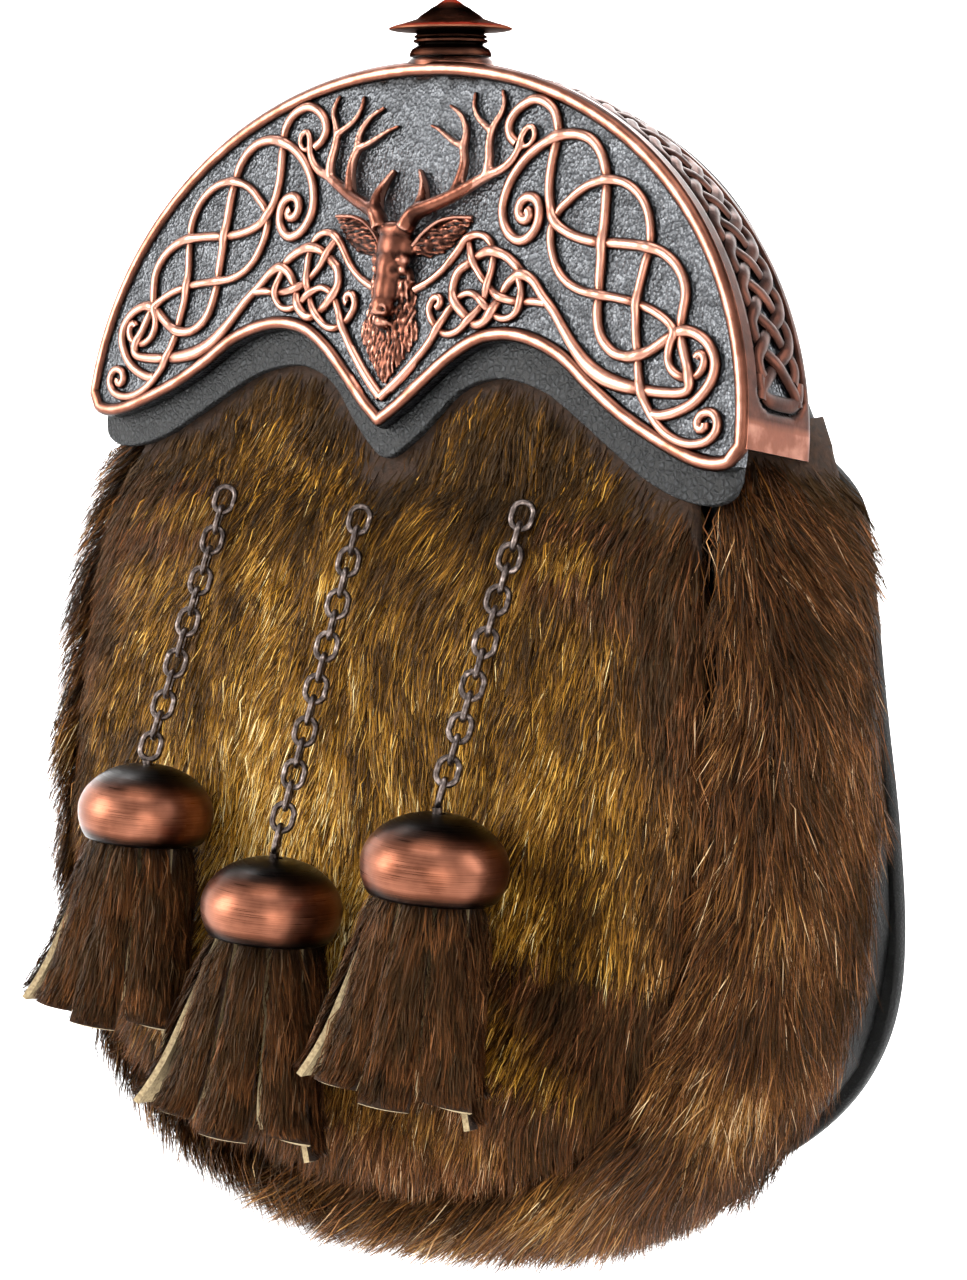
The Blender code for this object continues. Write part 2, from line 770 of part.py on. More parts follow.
def make_fur_border(material):
    """Long fur on its own hide round the gusset: every other point of the outer face is the tip of a lock."""
    stations = list(range(BORDER_START, GUSSET_STATIONS * 2 + 1 - BORDER_START))
    inner = gusset_grid(stations[::2], (0.0, 0.3, 0.6, 0.9), CLEAR)
    outer = gusset_grid(stations, (0.0, 0.15, 0.3, 0.45, 0.6, 0.75, 0.9), CLEAR + BORDER_BACKING)
    normals = gusset_normals(gusset_edges()[1])
    for i in range(1, len(stations) - 1, 2):
        for j in (1, 3, 5):
            swing = 0.75 + 0.25 * math.sin(2.3 * i + 1.7 * j)
            fan = Vector((0, (j - 3) * LOCK_FAN, -LOCK_DROOP))
            outer[i][j] += (normals[stations[i]] + fan) * LOCK_LENGTH * swing
    bm = bmesh.new()
    front = loft(bm, outer, around=False, caps=False)
    back = loft(bm, inner, around=False, caps=False)
    for k in range(len(back) - 1):
        for side in (0, -1):
            bm.faces.new((back[k][side], back[k + 1][side]) + tuple(front[2 * k + n][side] for n in (2, 1, 0)))
    for end in (0, -1):
        bm.faces.new(front[end] + back[end][::-1])
    bmesh.ops.triangulate(bm, faces=[f for f in bm.faces if len(f.verts) > 4])
    add_piece("fur_border", bm, material, PIECES)


def make_back_panel(material):
    """A flat leather panel: an arch that the cantle hides above, the pouch's outline below."""
    top = arch(BACK_TOP_MARGIN)
    highest = max(p.y for p in top)
    rear_drop = BAND_DEPTH_TOP * math.sin(LEAN) + BACK_TOP_MARGIN
    squash = (CANTLE_HEIGHT * math.cos(LEAN) - rear_drop) / highest
    outline = []
    for p in top:
        drawn = BACK_TIP_MARGIN / HALF_CANTLE * (1 - p.y / highest)
        outline.append(Vector((p.x * (1 - drawn), FOOT.z + p.y * squash)))
    left = [Vector((-share * BACK_HALF_WIDTH, panel_level(drop))) for drop, share in BACK_ROWS[1:]]
    outline += left
    outline.append(Vector((0, panel_level(1.0))))
    outline += [Vector((-p.x, p.y)) for p in reversed(left)]
    middle = Matrix.Translation((0, BACK_REAR_Y - BACK_THICKNESS / 2, 0)) @ Matrix.Rotation(math.pi / 2, 4, "X")
    flat_plate("back_panel", outline, BACK_THICKNESS, material, middle)


def make_strap_loop(material):
    """A leather strip sewn on above and below, so that a belt strap runs behind it. Its outline faces +X."""
    seat = BACK_REAR_Y + CLEAR
    tab = seat + STRAP_LOOP_THICKNESS
    inside = STRAP_GAP / 2
    outside = inside + STRAP_LOOP_THICKNESS
    half = STRAP_LOOP_OPENING / 2
    bend = STRAP_GAP / 2
    miter = STRAP_LOOP_THICKNESS * 0.4
    end = half + bend + STRAP_LOOP_TAB
    upper = [
        (outside, half + miter),
        (tab, half + bend + miter),
        (tab, end),
        (seat, end),
        (seat, half + bend),
        (inside, half),
    ]
    outline = upper + [(y, -z) for y, z in reversed(upper)]
    turn = Matrix(((0, 0, 1, 0), (1, 0, 0, 0), (0, 1, 0, 0), (0, 0, 0, 1)))
    flat_plate("strap_loop", outline, STRAP_LOOP_WIDTH, material, turn)


def foremost(x, z, reach):
    """The front panel's outer face where it stands furthest forward within a reach above and below."""
    return min(panel_front(x, z + side * reach) for side in (-1, 0, 1))


def leaning(place, degrees):
    """A frame whose -Z points down and forwards by an angle."""
    return Matrix.Translation(place) @ Matrix.Rotation(math.radians(-degrees), 4, "X")


def hanging(row):
    """The chain's start in front of the panel, and the bell's frame with its origin in the mouth."""
    _, across, top_drop, bell_drop, _ = row
    x = across * PANEL_HALF_WIDTH
    top_z = panel_level(top_drop)
    start = Vector((x, foremost(x, top_z, LINK_WIDTH / 2) - LINK_WIDTH / 2 - CLEAR, top_z))
    widest = panel_level(bell_drop) - BELL_HEIGHT * (1 - BELL_WIDEST)
    nearest = min(panel_front(x + side * BELL_RADIUS, widest) for side in (-0.5, 0, 0.5))
    middle = Vector((x, nearest - BELL_RADIUS - 3 * CLEAR, widest))
    mouth = leaning(middle, BELL_LEAN_DEG) @ Vector((0, 0, -BELL_HEIGHT * BELL_WIDEST))
    return start, leaning(mouth, BELL_LEAN_DEG)


def link_grip():
    """The distance between the wires of two links that just bite into each other."""
    return LINK_WIRE * math.cos(math.pi / WIRE_SIDES) - LINK_BITE


def link_mesh(pitch):
    """One link in the XZ plane: a torus stretched along Z until it grips its neighbours."""
    major = (LINK_WIDTH - LINK_WIRE) / 2
    bpy.ops.mesh.primitive_torus_add(
        major_segments=LINK_SEGMENTS,
        minor_segments=WIRE_SIDES,
        major_radius=major,
        minor_radius=LINK_WIRE / 2,
    )
    torus = bpy.context.object
    mesh = torus.data
    mesh.transform(Matrix.Rotation(math.pi / 2, 4, "X"))
    stretch = (pitch + link_grip()) / 2 - major * math.cos(math.pi / LINK_SEGMENTS)
    for vertex in mesh.vertices:
        vertex.co.z += stretch * max(-1.0, min(1.0, vertex.co.z / (major * 0.5)))
    bpy.data.objects.remove(torus, do_unlink=True)
    return mesh


def stem(bm, length, frame):
    """A disc and a post on it, along a frame's Z axis."""
    rings = []
    for radius, z in (
        (STEM_DISC_RADIUS, 0),
        (STEM_DISC_RADIUS, STEM_DISC_THICKNESS),
        (STEM_RADIUS, STEM_DISC_THICKNESS),
        (STEM_RADIUS, length),
    ):
        angles = [2 * math.pi * k / STEM_SIDES for k in range(STEM_SIDES)]
        rings.append([frame @ Vector((radius * math.cos(a), radius * math.sin(a), z)) for a in angles])
    loft(bm, rings)


def make_chain(row, material):
    """A run of links, each turned a quarter from the last, from a stud on the panel to a stem inside the bell."""
    start, bell = hanging(row)
    finish = bell @ Vector((0, 0, BELL_HEIGHT + CLEAR + LINK_PITCH * 0.52 + LINK_WIRE))
    run = finish - start
    count = round(run.length / LINK_PITCH) + 1
    pitch = run.length / (count - 1)
    mesh = link_mesh(pitch)
    turn = run.to_track_quat("-Z", "Y").to_matrix().to_4x4()
    halves = (bmesh.new(), bmesh.new())
    for k in range(count):
        place = Matrix.Translation(start + run * k / (count - 1))
        held = mesh.copy()
        held.transform(place @ turn @ Matrix.Rotation(math.radians(38 + 90 * (k % 2)), 4, "Z"))
        halves[k % 2].from_mesh(held)
        bpy.data.meshes.remove(held)
    bpy.data.meshes.remove(mesh)

    under = BELL_HEIGHT - BELL_WALL - CLEAR - STEM_DISC_THICKNESS
    wire = bell.inverted() @ (finish + run.normalized() * (pitch + link_grip()) / 2)
    stem(halves[count % 2], wire.z - under, bell @ Matrix.Translation((0, 0, under)))
    hook_z = start.z + pitch / 2 - LINK_WIRE * 0.5 - STEM_RADIUS + LINK_BITE
    face = Vector((start.x, foremost(start.x, hook_z, STEM_DISC_RADIUS) - CLEAR, hook_z))
    stem(halves[1], LINK_WIDTH * 0.75, Matrix.Translation(face) @ Matrix.Rotation(math.pi / 2, 4, "X"))
    chain = add_piece("chain_" + row[0], halves[0], material, PIECES)
    boolean(chain, as_cutter(add_piece("links_" + row[0], halves[1], None, CUTTERS)), "UNION")


def make_bell(row, material):
    """A squat dome with a thin wall, open below, with a small hole on top for the chain's stem."""
    outer = [(r * BELL_RADIUS, z * BELL_HEIGHT) for r, z in BELL_ROWS]
    inner = [(r - BELL_WALL, min(z, BELL_HEIGHT - BELL_WALL)) for r, z in outer[1:]]
    outer.insert(0, (BELL_HOLE_RADIUS, BELL_HEIGHT))
    inner.insert(0, (BELL_HOLE_RADIUS, BELL_HEIGHT - BELL_WALL))
    turned("bell_" + row[0], outer + inner[::-1], TURN_STEPS, material, PIECES, hanging(row)[1])


def strip_angle(k):
    """Share of a turn of a strip's first corner, its second corner and the groove beside it."""
    return 2 * math.pi * (k // 3 + (0.08, 0.72, 0.90)[k % 3]) / TASSEL_STRIPS


def make_tassel(row, material):
    """Strips of fur that flare from a head inside the bell."""
    bell = hanging(row)[1]
    hair = leaning(bell.translation, TASSEL_LEAN_DEG)
    head_room = BELL_HEIGHT - BELL_WALL - STEM_DISC_THICKNESS - 3 * CLEAR
    mouth = (BELL_ROWS[-1][0] * BELL_RADIUS - BELL_WALL) * math.cos(math.pi / TURN_STEPS) - CLEAR
    corners = range(TASSEL_STRIPS * 3)
    rings = []
    for share, radius in TASSEL_HEAD_ROWS:
        ring = []
        for k in corners:
            angle = strip_angle(k)
            r = mouth * radius
            ring.append(bell @ Vector((r * math.cos(angle), r * math.sin(angle), share * head_room)))
        rings.append(ring)
    for share, spread, groove in TASSEL_ROWS:
        ring = []
        for k in corners:
            angle = strip_angle(k)
            reach = spread * (groove if k % 3 == 2 else 1.0)
            x = row[-1] * reach * math.cos(angle)
            y = TASSEL_HALF_DEPTH * reach * math.sin(angle)
            z = -share * TASSEL_LENGTH * (1.0 + TASSEL_WAVER * math.sin(3.1 * (k // 3)) * share)
            ring.append(hair @ Vector((x, y, z)))
        rings.append(ring)
    bm = bmesh.new()
    loft(bm, rings)
    add_piece("tassel_" + row[0], bm, material, PIECES)


PIECES, CUTTERS = start_scene()
COPPER = make_material("antique_copper", "#8F5B40", 0.38, 1.0)
STEEL = make_material("aged_steel", "#4A4540", 0.42, 1.0)
LEATHER = make_material("black_leather", "#26272A", 0.62, 0.0)
SHORT_FUR = make_material("golden_fur", "#8A6228", 0.80, 0.0)
LONG_FUR = make_material("brown_fur", "#4C2F1C", 0.82, 0.0)
make_cantle(COPPER)
make_knob(COPPER)
make_flap(LEATHER)
make_front_panel(SHORT_FUR)
make_gusset(LEATHER)
make_fur_border(LONG_FUR)
make_back_panel(LEATHER)
make_strap_loop(LEATHER)
for chain_row in CHAIN_ROWS:
    make_chain(chain_row, STEEL)
    make_bell(chain_row, COPPER)
    make_tassel(chain_row, LONG_FUR)
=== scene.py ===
"""The looks of a dress sporran pouch: cast cantle, fur pouch, and three bells with tassels on chains.

Metres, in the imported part's frame: +Z up, +X to the viewer's right, front towards -Y. The pouch hangs as
it is worn, so the floor lies well below it.
"""

import math

import bmesh
import bpy
import numpy as np
from mathutils import Matrix, Vector, kdtree, noise


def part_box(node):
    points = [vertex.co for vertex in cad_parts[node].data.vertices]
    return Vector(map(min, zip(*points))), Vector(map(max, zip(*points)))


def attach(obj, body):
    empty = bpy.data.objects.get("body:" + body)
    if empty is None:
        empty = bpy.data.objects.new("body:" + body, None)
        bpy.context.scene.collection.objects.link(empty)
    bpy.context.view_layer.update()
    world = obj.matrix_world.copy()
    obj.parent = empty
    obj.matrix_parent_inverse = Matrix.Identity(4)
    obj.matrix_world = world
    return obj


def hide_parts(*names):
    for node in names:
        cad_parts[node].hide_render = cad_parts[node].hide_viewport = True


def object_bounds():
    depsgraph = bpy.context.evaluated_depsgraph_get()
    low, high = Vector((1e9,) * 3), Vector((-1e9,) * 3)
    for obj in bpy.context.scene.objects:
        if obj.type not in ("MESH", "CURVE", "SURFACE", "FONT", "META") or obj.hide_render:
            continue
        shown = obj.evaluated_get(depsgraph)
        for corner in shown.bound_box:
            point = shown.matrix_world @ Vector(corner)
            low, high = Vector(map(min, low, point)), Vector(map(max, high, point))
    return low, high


MM = 0.001

# Camera: where it stands, its turn from the front, its height above level, its lens on a 36 mm sensor
CAMERA_PLACE = (0.3063, -0.3520, 0.0314)
CAMERA_TURN_DEG = 41.44
CAMERA_RISE_DEG = 10.52
CAMERA_LENS_MM = 67.5

# Cove: floor below the pouch and a wall all round
FLOOR_DROP = 0.130
COVE_RADIUS = 1.60
COVE_FILLET = 0.60
COVE_HEIGHT = 2.20

# Cantle, as in the frame's casting
CANTLE_WIDTH = 0.165
CANTLE_HEIGHT = 0.0668
CANTLE_LEAN = math.radians(11.3)
ARCH_SQUARENESS = 2.05
ARCH_DROP = 0.002
FACE_PLATE = 0.0034
BAND_WALL = 0.0020
BAND_DEPTH_TIP = 0.0200
BAND_DEPTH_TOP = 0.0162
RIM_WIDTH = 0.0028
RIM_HEIGHT = 0.0012
RIM_SIDES = 16
SEAT_RISE = 0.0006
SEAT_DEPTH = 0.0025
GROUND_INSET = 0.0002
CLEAR = 0.0003

# Relief on the face
STRAND_RISE = 0.00125
STRAND_STEP = 0.0006
CROSSING_LIFT = 0.00042
CROSSING_REACH = 0.0015
STRAND_SIDES = 10
SWELL_FROM = 2

# Relief on the band
BAND_REAR_RIM = 0.0018
BAND_FRONT_RIM = 0.0034
BAND_PLAIN_END = 0.0066
BAND_RECESS = 0.0011
BAND_START = 0.0008
BAND_SLOPE = 0.0006
BAND_STRAND_WIDTH = 0.0027
BAND_WAVE = 0.0245
PLAIT_STEPS = 260
PLAIT_LOOP = 0.0042

# Stag's head
REMESH_VOXEL = 0.00032
HAIR_CUT = 0.00042

# Where hair is cut into the stag, in millimetres on the face: inside and below the ears, and down the chest
EAR_INNER = 5.2
EAR_LOW = 30.5
EAR_TOP = 39.0
EAR_OUT = 1.3 - RIM_HEIGHT / MM + 0.9
HAIR_TOP = 26.5
HAIR_OUT = 1.6

# Parts of the face that are worn in their own ways: the stag, its head below the brow, and its ears
STAG_HALF_WIDTH = 0.0175
STAG_FOOT = 0.006
STAG_RISE = 0.0004
HEAD_RISE = 0.0022
HEAD_HALF_WIDTH = 0.008
HEAD_TOP = 0.037
EAR_FROM = 0.0050
EAR_FOOT = 0.029
EAR_CROWN = 0.0392

# Knob
KNOB_HEIGHT = 0.01045
KNOB_STEPS = 64

# Leather
FLAP_THICKNESS = 0.0019
FLAP_TUCK = 0.0060
EDGE_ROUND = 0.0007
BACK_DRAWN_IN = 0.025
SEAM_INSET = 0.0042
STITCH_LENGTH = 0.0024
STITCH_PITCH = 0.0036
TAB_STITCHES = 17
TAB_SEAM_INSET = 0.0045
TAB_END_INSET = 0.003
TAB_THICKNESS = 0.0024

# Fur: hairs in each piece, their length, width and lift off the hide
PANEL_HALF_WIDTH = 0.079
FRONT_HAIRS = 50000
FRONT_HAIR_LENGTH = 0.0105
FRONT_HAIR_WIDTH = 0.00019
FRONT_HAIR_LIFT = 0.0019
BORDER_HAIRS = 46000
BORDER_HAIR_LENGTH = 0.0150
BORDER_HAIR_WIDTH = 0.00019
BORDER_HAIR_LIFT = 0.0078
BORDER_TOP = -0.0065
BORDER_REAR = -0.0165
BORDER_REAR_LEVEL = -0.090
BORDER_REAR_SLOPE = 0.10
BORDER_BACKING = 0.0016
TASSEL_HAIRS = 12500
TASSEL_HAIR_LENGTH = 0.0105
TASSEL_HAIR_WIDTH = 0.00020
TASSEL_HAIR_LIFT = 0.0017
HAIR_SINK = 0.0003
SLIP_POINTS = 5
LOCK_HAIRS = 34
FLAP_GAP = 0.0006
BAND_GAP = 0.0035

# Chains, bells and tassels
LINK_WIRE = 0.00115
LINK_WIDTH = 0.0048
LINK_PITCH = 0.0040
LINK_STEPS = 24
STEM_RADIUS = 0.0009
LINK_TURN = math.radians(38)
BELL_LEAN = math.radians(8)
BELL_WALL = 0.0011
BELL_STEPS = 72
TASSEL_LEAN = math.radians(16)
TASSEL_LENGTH = 0.0350
STRIP_THICKNESS = 0.0011
STRIP_HALF_TOP = 0.0021
STRIP_HALF_END = 0.0044
STRIP_CURL = 0.0015
STRIP_TWIST = 0.65
STRIP_TUCK = 0.0035

# Lower edge of the cantle from tip to middle: share of half the width, share of the height
EDGE_ROWS = (
    (0.984, -0.028), (0.933, -0.045), (0.865, -0.036), (0.765, 0.008), (0.667, 0.063), (0.580, 0.127),
    (0.500, 0.193), (0.420, 0.232), (0.345, 0.246), (0.270, 0.232), (0.200, 0.185), (0.130, 0.115),
    (0.065, 0.045), (0.000, -0.012),
)

# Flap's lower edge on the right half, in millimetres from the middle and up from the tips
FLAP_ROWS = (
    (0.0, -5.8), (3.0, -4.6), (8.6, 0.0), (15.0, 6.5), (20.5, 9.3), (27.0, 10.2), (36.0, 8.3),
    (44.0, 4.2), (50.0, 0.7), (55.0, -2.2), (60.0, -5.0), (67.0, -7.6), (74.0, -8.5), (78.3, -7.0),
    (79.6, -4.0),
)

# Interlace on the right half, in millimetres from the middle and up from the tips: width at both ends, points
STRAND_ROWS = (
    (2.0, 2.3, (
        (29.6, 39.5), (30.3, 38.9), (29.8, 37.9), (28.5, 38.0), (27.6, 39.2), (27.9, 40.9),
        (29.4, 41.9), (31.3, 41.4), (32.4, 39.6), (32.3, 37.0), (30.8, 34.9), (28.6, 34.2),
        (26.0, 35.4), (24.2, 38.0), (23.8, 41.0), (24.9, 44.8), (27.3, 48.2), (30.3, 50.6),
        (34.0, 52.3), (38.0, 52.8), (41.8, 51.8), (44.6, 49.2), (46.2, 45.6), (46.9, 41.0),
        (47.2, 36.0), (47.5, 31.0), (47.8, 26.5), (48.2, 22.0), (49.6, 18.2), (52.6, 15.6),
        (56.2, 14.9), (59.6, 15.7), (62.6, 17.5), (65.0, 19.2), (68.0, 19.7), (71.4, 18.4),
        (73.6, 16.0), (74.2, 13.6), (73.4, 11.0), (71.0, 8.1), (67.7, 6.3), (64.6, 5.5), (62.8, 5.6),
    )),
    (1.9, 3.2, (
        (25.2, 51.3), (23.5, 52.6), (22.8, 54.6), (23.7, 56.6), (25.5, 58.1), (28.0, 59.0),
        (30.5, 58.5), (32.8, 56.9), (34.1, 54.2), (34.1, 51.0), (33.8, 47.8), (33.8, 44.4),
        (34.5, 41.0), (36.3, 37.6), (39.4, 35.7), (42.7, 34.7), (46.7, 34.1), (50.4, 34.0),
        (54.0, 33.8), (57.4, 33.4), (60.4, 32.6), (63.2, 30.9), (65.3, 28.5), (66.3, 25.8),
        (66.2, 22.8), (66.1, 20.2), (66.9, 17.6), (68.1, 14.9), (69.3, 12.4), (69.6, 10.4),
        (68.2, 9.5), (64.0, 9.3), (59.5, 9.6), (55.0, 10.2), (51.0, 11.3), (47.4, 13.2), (44.2, 15.9),
        (41.3, 19.0), (38.6, 22.0), (35.6, 24.6), (33.0, 27.2), (30.4, 28.3), (28.2, 27.4),
        (26.5, 25.4), (25.3, 23.2), (24.1, 20.9), (22.4, 19.4), (20.6, 19.2), (18.6, 20.3),
        (16.6, 21.9), (15.0, 23.8), (14.5, 26.0), (15.3, 28.4), (17.3, 29.9), (19.4, 31.3),
        (21.5, 32.1), (23.8, 32.1), (26.5, 31.2), (28.9, 29.6), (31.0, 27.6),
    )),
    (1.9, 2.0, (
        (70.2, 15.4), (70.8, 16.1), (71.8, 15.6), (71.9, 14.0), (70.9, 12.6), (69.2, 12.0),
        (67.2, 12.2), (65.3, 13.4), (64.4, 15.4), (64.6, 17.8), (65.2, 19.4), (63.4, 21.1),
        (60.8, 22.5), (58.0, 23.5), (55.3, 24.2), (51.4, 24.8), (47.7, 25.2), (44.0, 25.8),
        (40.8, 27.1), (38.3, 29.2), (36.6, 32.0), (35.7, 34.8), (35.7, 37.4), (37.0, 39.7),
        (38.7, 41.2), (40.8, 42.9), (43.5, 44.2), (46.8, 44.8), (50.1, 44.4), (53.0, 43.0),
        (55.4, 40.7), (56.8, 38.0), (57.4, 35.3), (57.3, 32.6), (56.9, 29.7), (56.5, 26.8),
        (56.4, 24.0), (56.7, 20.8), (57.4, 17.4), (58.2, 14.1), (59.2, 10.8), (60.6, 7.9), (62.5, 5.5),
        (64.4, 3.7), (66.6, 2.3), (69.2, 1.4), (72.0, 1.2), (74.6, 1.9), (76.1, 3.6), (76.0, 5.5),
        (74.7, 6.6), (72.9, 6.2), (72.1, 4.8), (72.8, 3.7), (73.8, 4.0), (73.7, 4.7),
    )),
    (1.7, 1.8, (
        (5.2, 25.0), (8.6, 26.6), (11.6, 28.8), (14.0, 31.6), (16.3, 34.2), (18.8, 35.1), (21.0, 34.6),
        (22.7, 32.8), (23.2, 30.0), (22.9, 27.1), (22.4, 24.5), (21.2, 21.9), (19.4, 19.9),
        (17.5, 18.2), (15.6, 17.3), (13.6, 17.3), (11.6, 18.4), (10.0, 20.1), (9.4, 21.9),
        (10.3, 23.6), (11.7, 23.6), (11.9, 22.4), (11.2, 21.9),
    )),
    (1.6, 1.9, (
        (16.6, 34.4), (17.7, 32.2), (19.0, 29.8), (21.0, 27.5), (23.2, 25.7), (25.4, 24.4),
        (28.0, 23.7), (31.0, 23.5), (34.0, 23.6), (36.6, 23.4),
    )),
    (2.2, 1.7, (
        (0.0, 5.0), (2.5, 7.1), (5.0, 9.4), (7.5, 12.0), (9.8, 14.6), (11.6, 17.2), (13.0, 19.6),
        (14.3, 21.7), (15.8, 23.5), (17.3, 24.4), (18.8, 24.7), (20.6, 24.1), (22.4, 22.9),
        (24.4, 21.3), (27.0, 20.4), (29.3, 20.9), (30.7, 22.6), (30.8, 25.0), (29.8, 27.4),
    )),
)

# Antlers on the right half, in millimetres: widths at the root and the tip, then points with their rise
ANTLER_ROWS = (
    (3.3, 1.1, (
        (3.0, 35.6, 2.6), (4.8, 38.3, 2.6), (8.0, 39.8, 2.0), (11.0, 41.0, 1.6), (14.0, 42.4, 1.2),
        (17.0, 44.0, 0.8), (20.0, 45.6, 0.4), (22.8, 46.7, 0.2), (24.9, 48.4, 0.1), (26.0, 50.3, 0.1),
        (26.4, 52.4, 0.1), (27.4, 54.1, 0.0), (28.7, 54.1, 0.0), (29.3, 52.5, 0.0), (28.4, 51.0, 0.0),
        (26.9, 50.7, 0.0),
    )),
    (2.2, 0.7, ((5.2, 38.8, 2.5), (5.7, 41.4, 2.0), (4.9, 44.0, 1.3), (3.2, 46.7, 0.6))),
    (2.3, 0.8, (
        (13.0, 42.2, 1.2), (13.9, 45.5, 1.0), (14.0, 48.3, 0.8), (13.3, 50.5, 0.7), (13.4, 52.8, 0.5),
        (12.8, 54.6, 0.4), (11.0, 56.8, 0.2), (8.2, 58.4, 0.0),
    )),
    (1.6, 0.7, ((13.2, 50.8, 0.6), (10.8, 51.6, 0.5), (8.4, 52.9, 0.3), (6.0, 54.2, 0.1), (4.0, 54.9, 0.0))),
    (2.2, 0.8, (
        (19.6, 45.6, 0.4), (19.8, 48.3, 0.5), (19.3, 50.7, 0.5), (19.3, 53.2, 0.4), (20.0, 55.2, 0.3),
        (21.0, 56.9, 0.2), (21.2, 58.8, 0.1), (20.2, 61.0, 0.0),
    )),
    (1.6, 0.7, (
        (19.4, 53.4, 0.4), (17.3, 54.7, 0.3), (15.4, 56.1, 0.2), (14.1, 58.2, 0.1), (13.9, 60.8, 0.0),
    )),
)

# Rounded masses of the stag's head, in millimetres: place across, up and out of the ground, and half sizes
HEAD_MASSES = (
    (0.0, 32.4, 1.4, 4.1, 4.6, 3.0),
    (0.0, 28.4, 2.0, 3.1, 4.6, 2.9),
    (0.0, 24.6, 2.5, 2.6, 4.4, 2.5),
    (0.0, 21.6, 2.7, 2.45, 2.6, 2.5),
    (0.0, 20.6, 3.7, 2.1, 1.5, 1.5),
    (0.0, 18.5, 2.2, 1.8, 1.2, 1.9),
    (0.0, 35.4, 2.2, 4.2, 1.8, 2.1),
)

# Masses that the head has on both sides
PAIRED_MASSES = (
    (2.9, 29.9, 2.5, 1.6, 1.2, 1.4),
    (2.9, 25.6, 1.0, 2.0, 3.6, 1.9),
    (3.3, 28.2, 2.6, 0.85, 0.75, 0.8),
    (1.25, 21.0, 4.4, 0.8, 0.8, 0.8),
)

# Hollows on both sides of the head, in millimetres: place across and up, half width, half height, depth
HEAD_HOLLOWS = (
    (2.1, 28.0, 0.7, 0.9, 0.7),
    (3.4, 26.9, 0.9, 0.5, 0.6),
    (1.45, 20.7, 0.45, 0.45, 0.8),
    (1.2, 19.35, 1.5, 0.30, 0.6),
    (2.2, 24.2, 0.6, 2.2, 0.4),
)

# Neck and chest hair from the jaw down: place up, half width, rise, in millimetres
CHEST_ROWS = (
    (29.0, 3.6, 1.4), (25.0, 5.4, 1.9), (20.0, 6.3, 2.0), (16.5, 7.6, 1.6), (13.0, 5.2, 1.5),
    (10.0, 2.8, 1.2), (7.6, 0.6, 0.6),
)

# Right ear from the skull to its tip: place across and up, half width, rise, in millimetres
EAR_ROWS = (
    (3.6, 31.6, 0.7, 1.8), (6.0, 32.8, 2.3, 1.8), (9.0, 34.2, 3.1, 1.7), (12.0, 35.5, 2.7, 1.5),
    (14.8, 36.8, 1.5, 1.2), (17.0, 37.9, 0.3, 0.8),
)

# Knob from its point down to its foot: radius, height above the foot, share of wear to bright copper
KNOB_ROWS = (
    (0.0, 10.45, 1.0), (0.9, 10.35, 1.0), (1.7, 9.90, 0.9), (2.6, 9.25, 0.7), (3.8, 8.60, 0.3),
    (3.9, 8.45, 0.0), (5.6, 7.35, 0.2), (6.2, 6.75, 0.5), (8.6, 6.00, 0.5), (10.6, 5.45, 0.8),
    (11.4, 5.10, 1.0), (11.35, 4.80, 1.0), (10.7, 4.65, 0.6), (8.0, 4.55, 0.2), (6.7, 4.35, 0.1),
    (6.2, 4.00, 0.1), (6.7, 3.70, 0.6), (6.8, 3.45, 0.6), (6.2, 3.20, 0.0), (6.9, 2.95, 0.5),
    (6.9, 2.60, 0.5), (6.1, 2.30, 0.0), (6.0, 2.00, 0.0), (7.2, 1.30, 0.3), (7.6, 0.50, 0.6),
    (7.6, 0.00, 0.3), (2.5, 0.00, 0.0), (2.5, -6.60, 0.0), (4.5, -6.60, 0.2), (4.5, -7.80, 0.2),
    (0.0, -7.80, 0.0),
)

# Bell from the hole on top down to the mouth: share of the radius, share of the height
BELL_ROWS = (
    (0.10, 1.000), (0.22, 0.992), (0.38, 0.962), (0.55, 0.905), (0.70, 0.825), (0.83, 0.720),
    (0.93, 0.600), (0.99, 0.460), (1.00, 0.350), (0.985, 0.230), (0.94, 0.110), (0.895, 0.030),
    (0.870, 0.000),
)
BELL_RADIUS = 0.0129
BELL_HEIGHT = 0.0143

# Tassels: side, half the width at the end
TASSEL_ROWS = (
    ("left", 0.0185),
    ("middle", 0.0215),
    ("right", 0.0185),
)
TASSEL_HALF_DEPTH = 0.0118

# Strips of a tassel, outer ones first: how many, hairs on each, then shares of the length, of the mouth's
# radius, and of the tassel's half width and half depth
STRIP_RANKS = (
    (9, TASSEL_HAIRS // 12, 1.00, 0.86, 0.86, 0.88),
    (5, TASSEL_HAIRS // 24, 0.93, 0.50, 0.55, 0.45),
)


def linear(colour):
    """An sRGB hex colour as linear RGBA."""
    values = [int(colour[i : i + 2], 16) / 255 for i in (1, 3, 5)]
    return [v / 12.92 if v <= 0.04045 else ((v + 0.055) / 1.055) ** 2.4 for v in values] + [1.0]


def add_node(tree, kind, values=(), links=(), stops=(), **settings):
    """Adds a shader node. Values and links pair an input with what goes in, stops are a ramp's places."""
    node = tree.nodes.new("ShaderNode" + kind)
    for name, value in settings.items():
        setattr(node, name, value)
    for place, value in values:
        node.inputs[place].default_value = value
    for place, source in links:
        tree.links.new(source, node.inputs[place])
    for k, (place, colour) in enumerate(stops):
        element = node.color_ramp.elements[k] if k < 2 else node.color_ramp.elements.new(place)
        element.position = place
        element.color = linear(colour)
    return node


def new_material(name, roughness, metallic=0.0, specular=0.5):
    """A material with a plain shader. Returns it with its node tree and its shader."""
    material = bpy.data.materials.new(name)
    material.use_nodes = True
    shader = material.node_tree.nodes["Principled BSDF"]
    shader.inputs["Roughness"].default_value = roughness
    shader.inputs["Metallic"].default_value = metallic
    shader.inputs["Specular IOR Level"].default_value = specular
    return material, material.node_tree, shader


def object_place(tree):
    return add_node(tree, "TexCoord").outputs["Object"]


